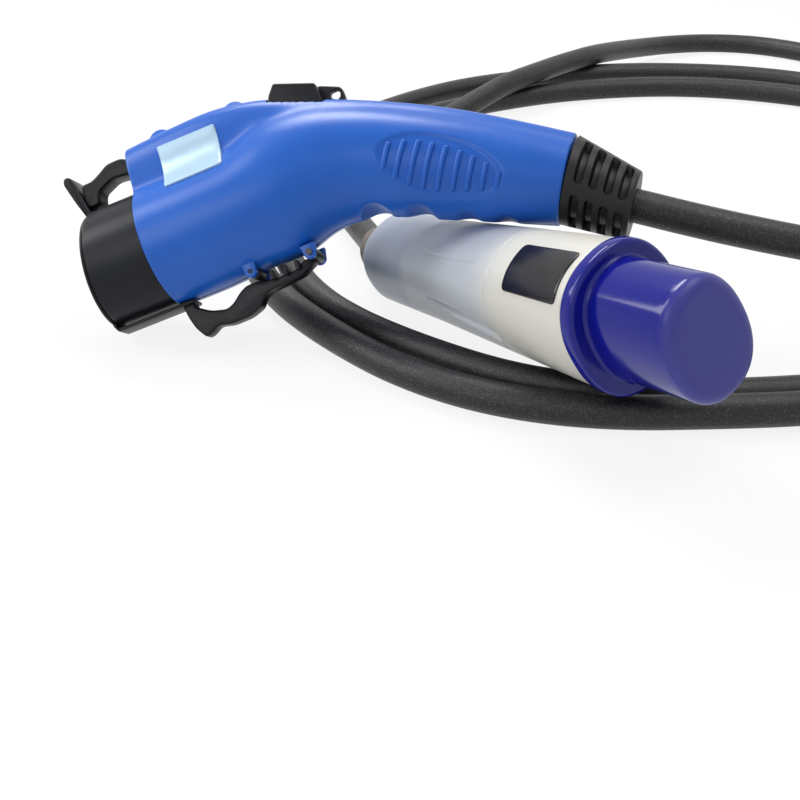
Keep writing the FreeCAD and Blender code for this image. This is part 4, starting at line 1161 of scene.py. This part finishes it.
def make_plug_cap(finish):
    """Violet cap: a flange with rounded rims, the tube, and the closed end, its edge a quarter round
    and its face crowned a little."""
    start, step_at, end = CAP_FROM, CAP_FROM + CAP_FLANGE_LONG, CAP_FROM + CAP_LONG

    def flange(d, less):
        return d, CAP_FLANGE_HALF[0] - less, CAP_FLANGE_HALF[1] - less

    def tube(d, less=0.0):
        return d, CAP_TUBE_HALF[0] - less, CAP_TUBE_HALF[1] - less

    rows = [tube(start + 0.2, 1.9), tube(start, 1.7), flange(start, 1.0)]
    for q in np.linspace(0, math.pi / 2, 5):
        rows.append(flange(start + 0.8 * (1 - math.cos(q)), 0.8 * (1 - math.sin(q))))
    for q in np.linspace(0, math.pi / 2, 7):
        rows.append(flange(step_at - 1.6 * (1 - math.sin(q)), 1.6 * (1 - math.cos(q))))
    rows += [tube(step_at), tube(step_at, -1.0), tube(step_at + 0.3, -0.35), tube(step_at + 1.0)]
    rows += [tube(d) for d in np.linspace(step_at + 3.0, end - CAP_EDGE_R, 12)]
    for q in np.linspace(0.15, math.pi / 2, 10):
        rows.append(tube(end - CAP_EDGE_R * (1 - math.sin(q)), CAP_EDGE_R * (1 - math.cos(q))))
    rows.append((end, *[0.75 * (half - CAP_EDGE_R) for half in CAP_TUBE_HALF]))
    rows += [(end, 4.0, 3.0), (end, 0.0, 0.0)]
    rows += [(end - 1.8, 0.0, 0.0), tube(end - 1.8, 5.0), tube(end - CAP_EDGE_R, 1.9)]
    return plug_piece("plug_cap_cover", oval_tube(rows, 144), finish, "plug_cover", "plug_cap")


def make_boot(finish):
    """Boot behind the plug: a taper with shallow waves, closed round the lead."""
    back = -np.linspace(0, BOOT_LONG, 90)
    taper = np.interp(-back, [0, 3.0, BOOT_LONG], [BOOT_R0, BOOT_R0, BOOT_R1])
    waves = 0.3 * np.sin((-back - 3.0) / 3.6 * TAU) * step(-back, 3.0, 6.0) * (1 - step(-back, 18.0, 21.0))
    rows = [(0.8, 5.8), (0.8, BOOT_R0 - 0.4), *zip(back, taper - 0.3 + waves)]
    rows += [(-BOOT_LONG, BOOT_R1 - 0.9), (0.5 - BOOT_LONG, 5.8)]
    part = lathe([(PLUG_START + along, radius) for along, radius in rows], 72, closed=True)
    return piece("plug_boot_sleeve", [part], finish, "housing",
                 ("plug_boot",), bent_boot, 50)


def make_label(finish):
    """Blank label on the collar: rings of a rounded rectangle in distance and angle, laid on the skin."""
    d0, d1 = LABEL_D
    a0, a1 = LABEL_ANGLE
    high = math.radians(a1 - a0) * LABEL_REACH
    outline = dense(rounded([(d0, 0.0), (d1, 0.0), (d1, high), (d0, high)], 1.9, 6))
    rings = [1.0, 1.0, 0.99, 0.97, 0.9, 0.75, 0.55, 0.35, 0.15, 0.0]
    lift = [-0.6, 0.5, 0.85, 1.0, 1.0, 1.0, 1.0, 1.0, 1.0, 1.0]

    def shape(d, round_by, up):
        return plug_point(d, math.radians(a0) + round_by / LABEL_REACH, up * LABEL_THICK)

    part = disc(outline, lift, rings, shape)
    return piece("plug_blank_label", [part], finish, "housing", ("plug_label",), plug, 60)


def dress_cad(nodes, finishes):
    """The inner pieces that stay as they are get their finishes."""
    for names, finish in finishes:
        for name in names:
            node = nodes[name]
            node.data.materials.clear()
            node.data.materials.append(finish)


# light and ground

def make_floor(finish):
    """A wide flat floor a hair under the part."""
    mesh = bpy.data.meshes.new("floor")
    half = 6.0
    corners = [(-half, -half, 0), (half, -half, 0), (half, half, 0), (-half, half, 0)]
    mesh.from_pydata(corners, [], [(0, 1, 2, 3)])
    floor = bpy.data.objects.new("floor", mesh)
    floor.location.z = -0.0003
    mesh.materials.append(finish)
    bpy.context.scene.collection.objects.link(floor)


def softbox(name, place, aim, size, power):
    """A rectangular area lamp that looks at a point."""
    lamp = bpy.data.lights.new(name, "AREA")
    lamp.shape = "RECTANGLE"
    lamp.size, lamp.size_y = size
    lamp.energy = power
    holder = bpy.data.objects.new(name, lamp)
    holder.location = place
    way = np.array(aim) - np.array(place)
    flat = math.hypot(way[0], way[1])
    holder.rotation_euler = (math.atan2(flat, -way[2]), 0.0, math.atan2(-way[0], way[1]))
    bpy.context.scene.collection.objects.link(holder)


def make_light():
    """The lamps, and a white room that lights less than it shows."""
    for lamp in LAMPS:
        softbox(*lamp)
    world = bpy.data.worlds.new("room")
    world.use_nodes = True
    room = Nodes(world.node_tree)
    levels = {"Value": room.rays(), "To Min": ROOM_LIGHTS, "To Max": ROOM_SEEN}
    strength = room.node("ShaderNodeMapRange", inputs=levels)
    white = {"Color": (1.0, 1.0, 1.0, 1.0), "Strength": strength}
    room.end("ShaderNodeOutputWorld", room.node("ShaderNodeBackground", inputs=white))
    bpy.context.scene.world = world


def main():
    """Camera and lead first, then the pieces, the inner CAD pieces' finishes, floor and light."""
    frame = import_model()
    bpy.context.scene.view_settings.view_transform = "Standard"
    make_camera()
    lead, points = make_lead()
    lead.data.materials.append(sheath())
    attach(lead, "housing")
    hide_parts("cable_run_gun", "cable_run_plug", "cable_coil")

    # materials and pieces
    blue = moulded("housing_blue", srgb(20, 91, 188), srgb(16, 84, 178), 0.31, 0.36)
    black = moulded("nose_black", srgb(22, 24, 30), srgb(18, 20, 25), 0.36, 0.20)
    latch = moulded("latch_black", srgb(20, 21, 26), srgb(16, 17, 21), 0.34, 0.20)
    rubber = moulded("relief_rubber", srgb(27, 27, 30), srgb(22, 22, 25), 0.40, 0.30, 5000.0, 0.00002)
    make_shell(1, blue)
    make_shell(-1, blue)
    make_grip_ribs(blue)
    make_lugs(blue)
    make_nose(black)
    make_lever(latch)
    make_button(latch)
    make_flip_cap(latch)
    make_relief(rubber)
    make_badge(badge_silver())
    make_plug_body(plug_plastic("plug_grey"))
    make_plug_collar(plug_plastic("plug_cream"))
    make_plug_cap(cap_plastic())
    boot = moulded("boot_rubber", srgb(118, 110, 103), srgb(101, 95, 89), 0.5, 0.25, 5000.0, 0.00002)
    make_boot(boot)
    make_label(label_gloss())
    plating = metal("contact_plating", (0.80, 0.72, 0.52, 1.0), 0.24)
    steel = metal("bright_steel", (0.56, 0.57, 0.58, 1.0), 0.28)
    make_latch_pin(steel)
    dark_steel = metal("dark_steel", (0.07, 0.07, 0.08, 1.0), 0.40)
    inner = moulded("contact_block", srgb(44, 45, 50), srgb(36, 37, 42), 0.5)
    seal = moulded("seal_rubber", srgb(120, 62, 40), srgb(104, 52, 34), 0.6)
    sockets = ("power_socket_1", "power_socket_2", "earth_socket", "signal_socket_1", "signal_socket_2")
    dress_cad(frame["nodes"], (
        ((*sockets, "plug_pins"), plating),
        (("latch_spring", "housing_screws"), steel),
        (("flip_cap_pin", "flip_cap_spring_pin", "flip_cap_spring"), dark_steel),
        (("contact_insulator", "cable_clamp", "plug_pin_carrier"), inner),
        (("nose_seal",), seal),
        (("lead_core",), lead.data.materials[0]),
    ))
    make_floor(floor_white())
    make_light()


main()
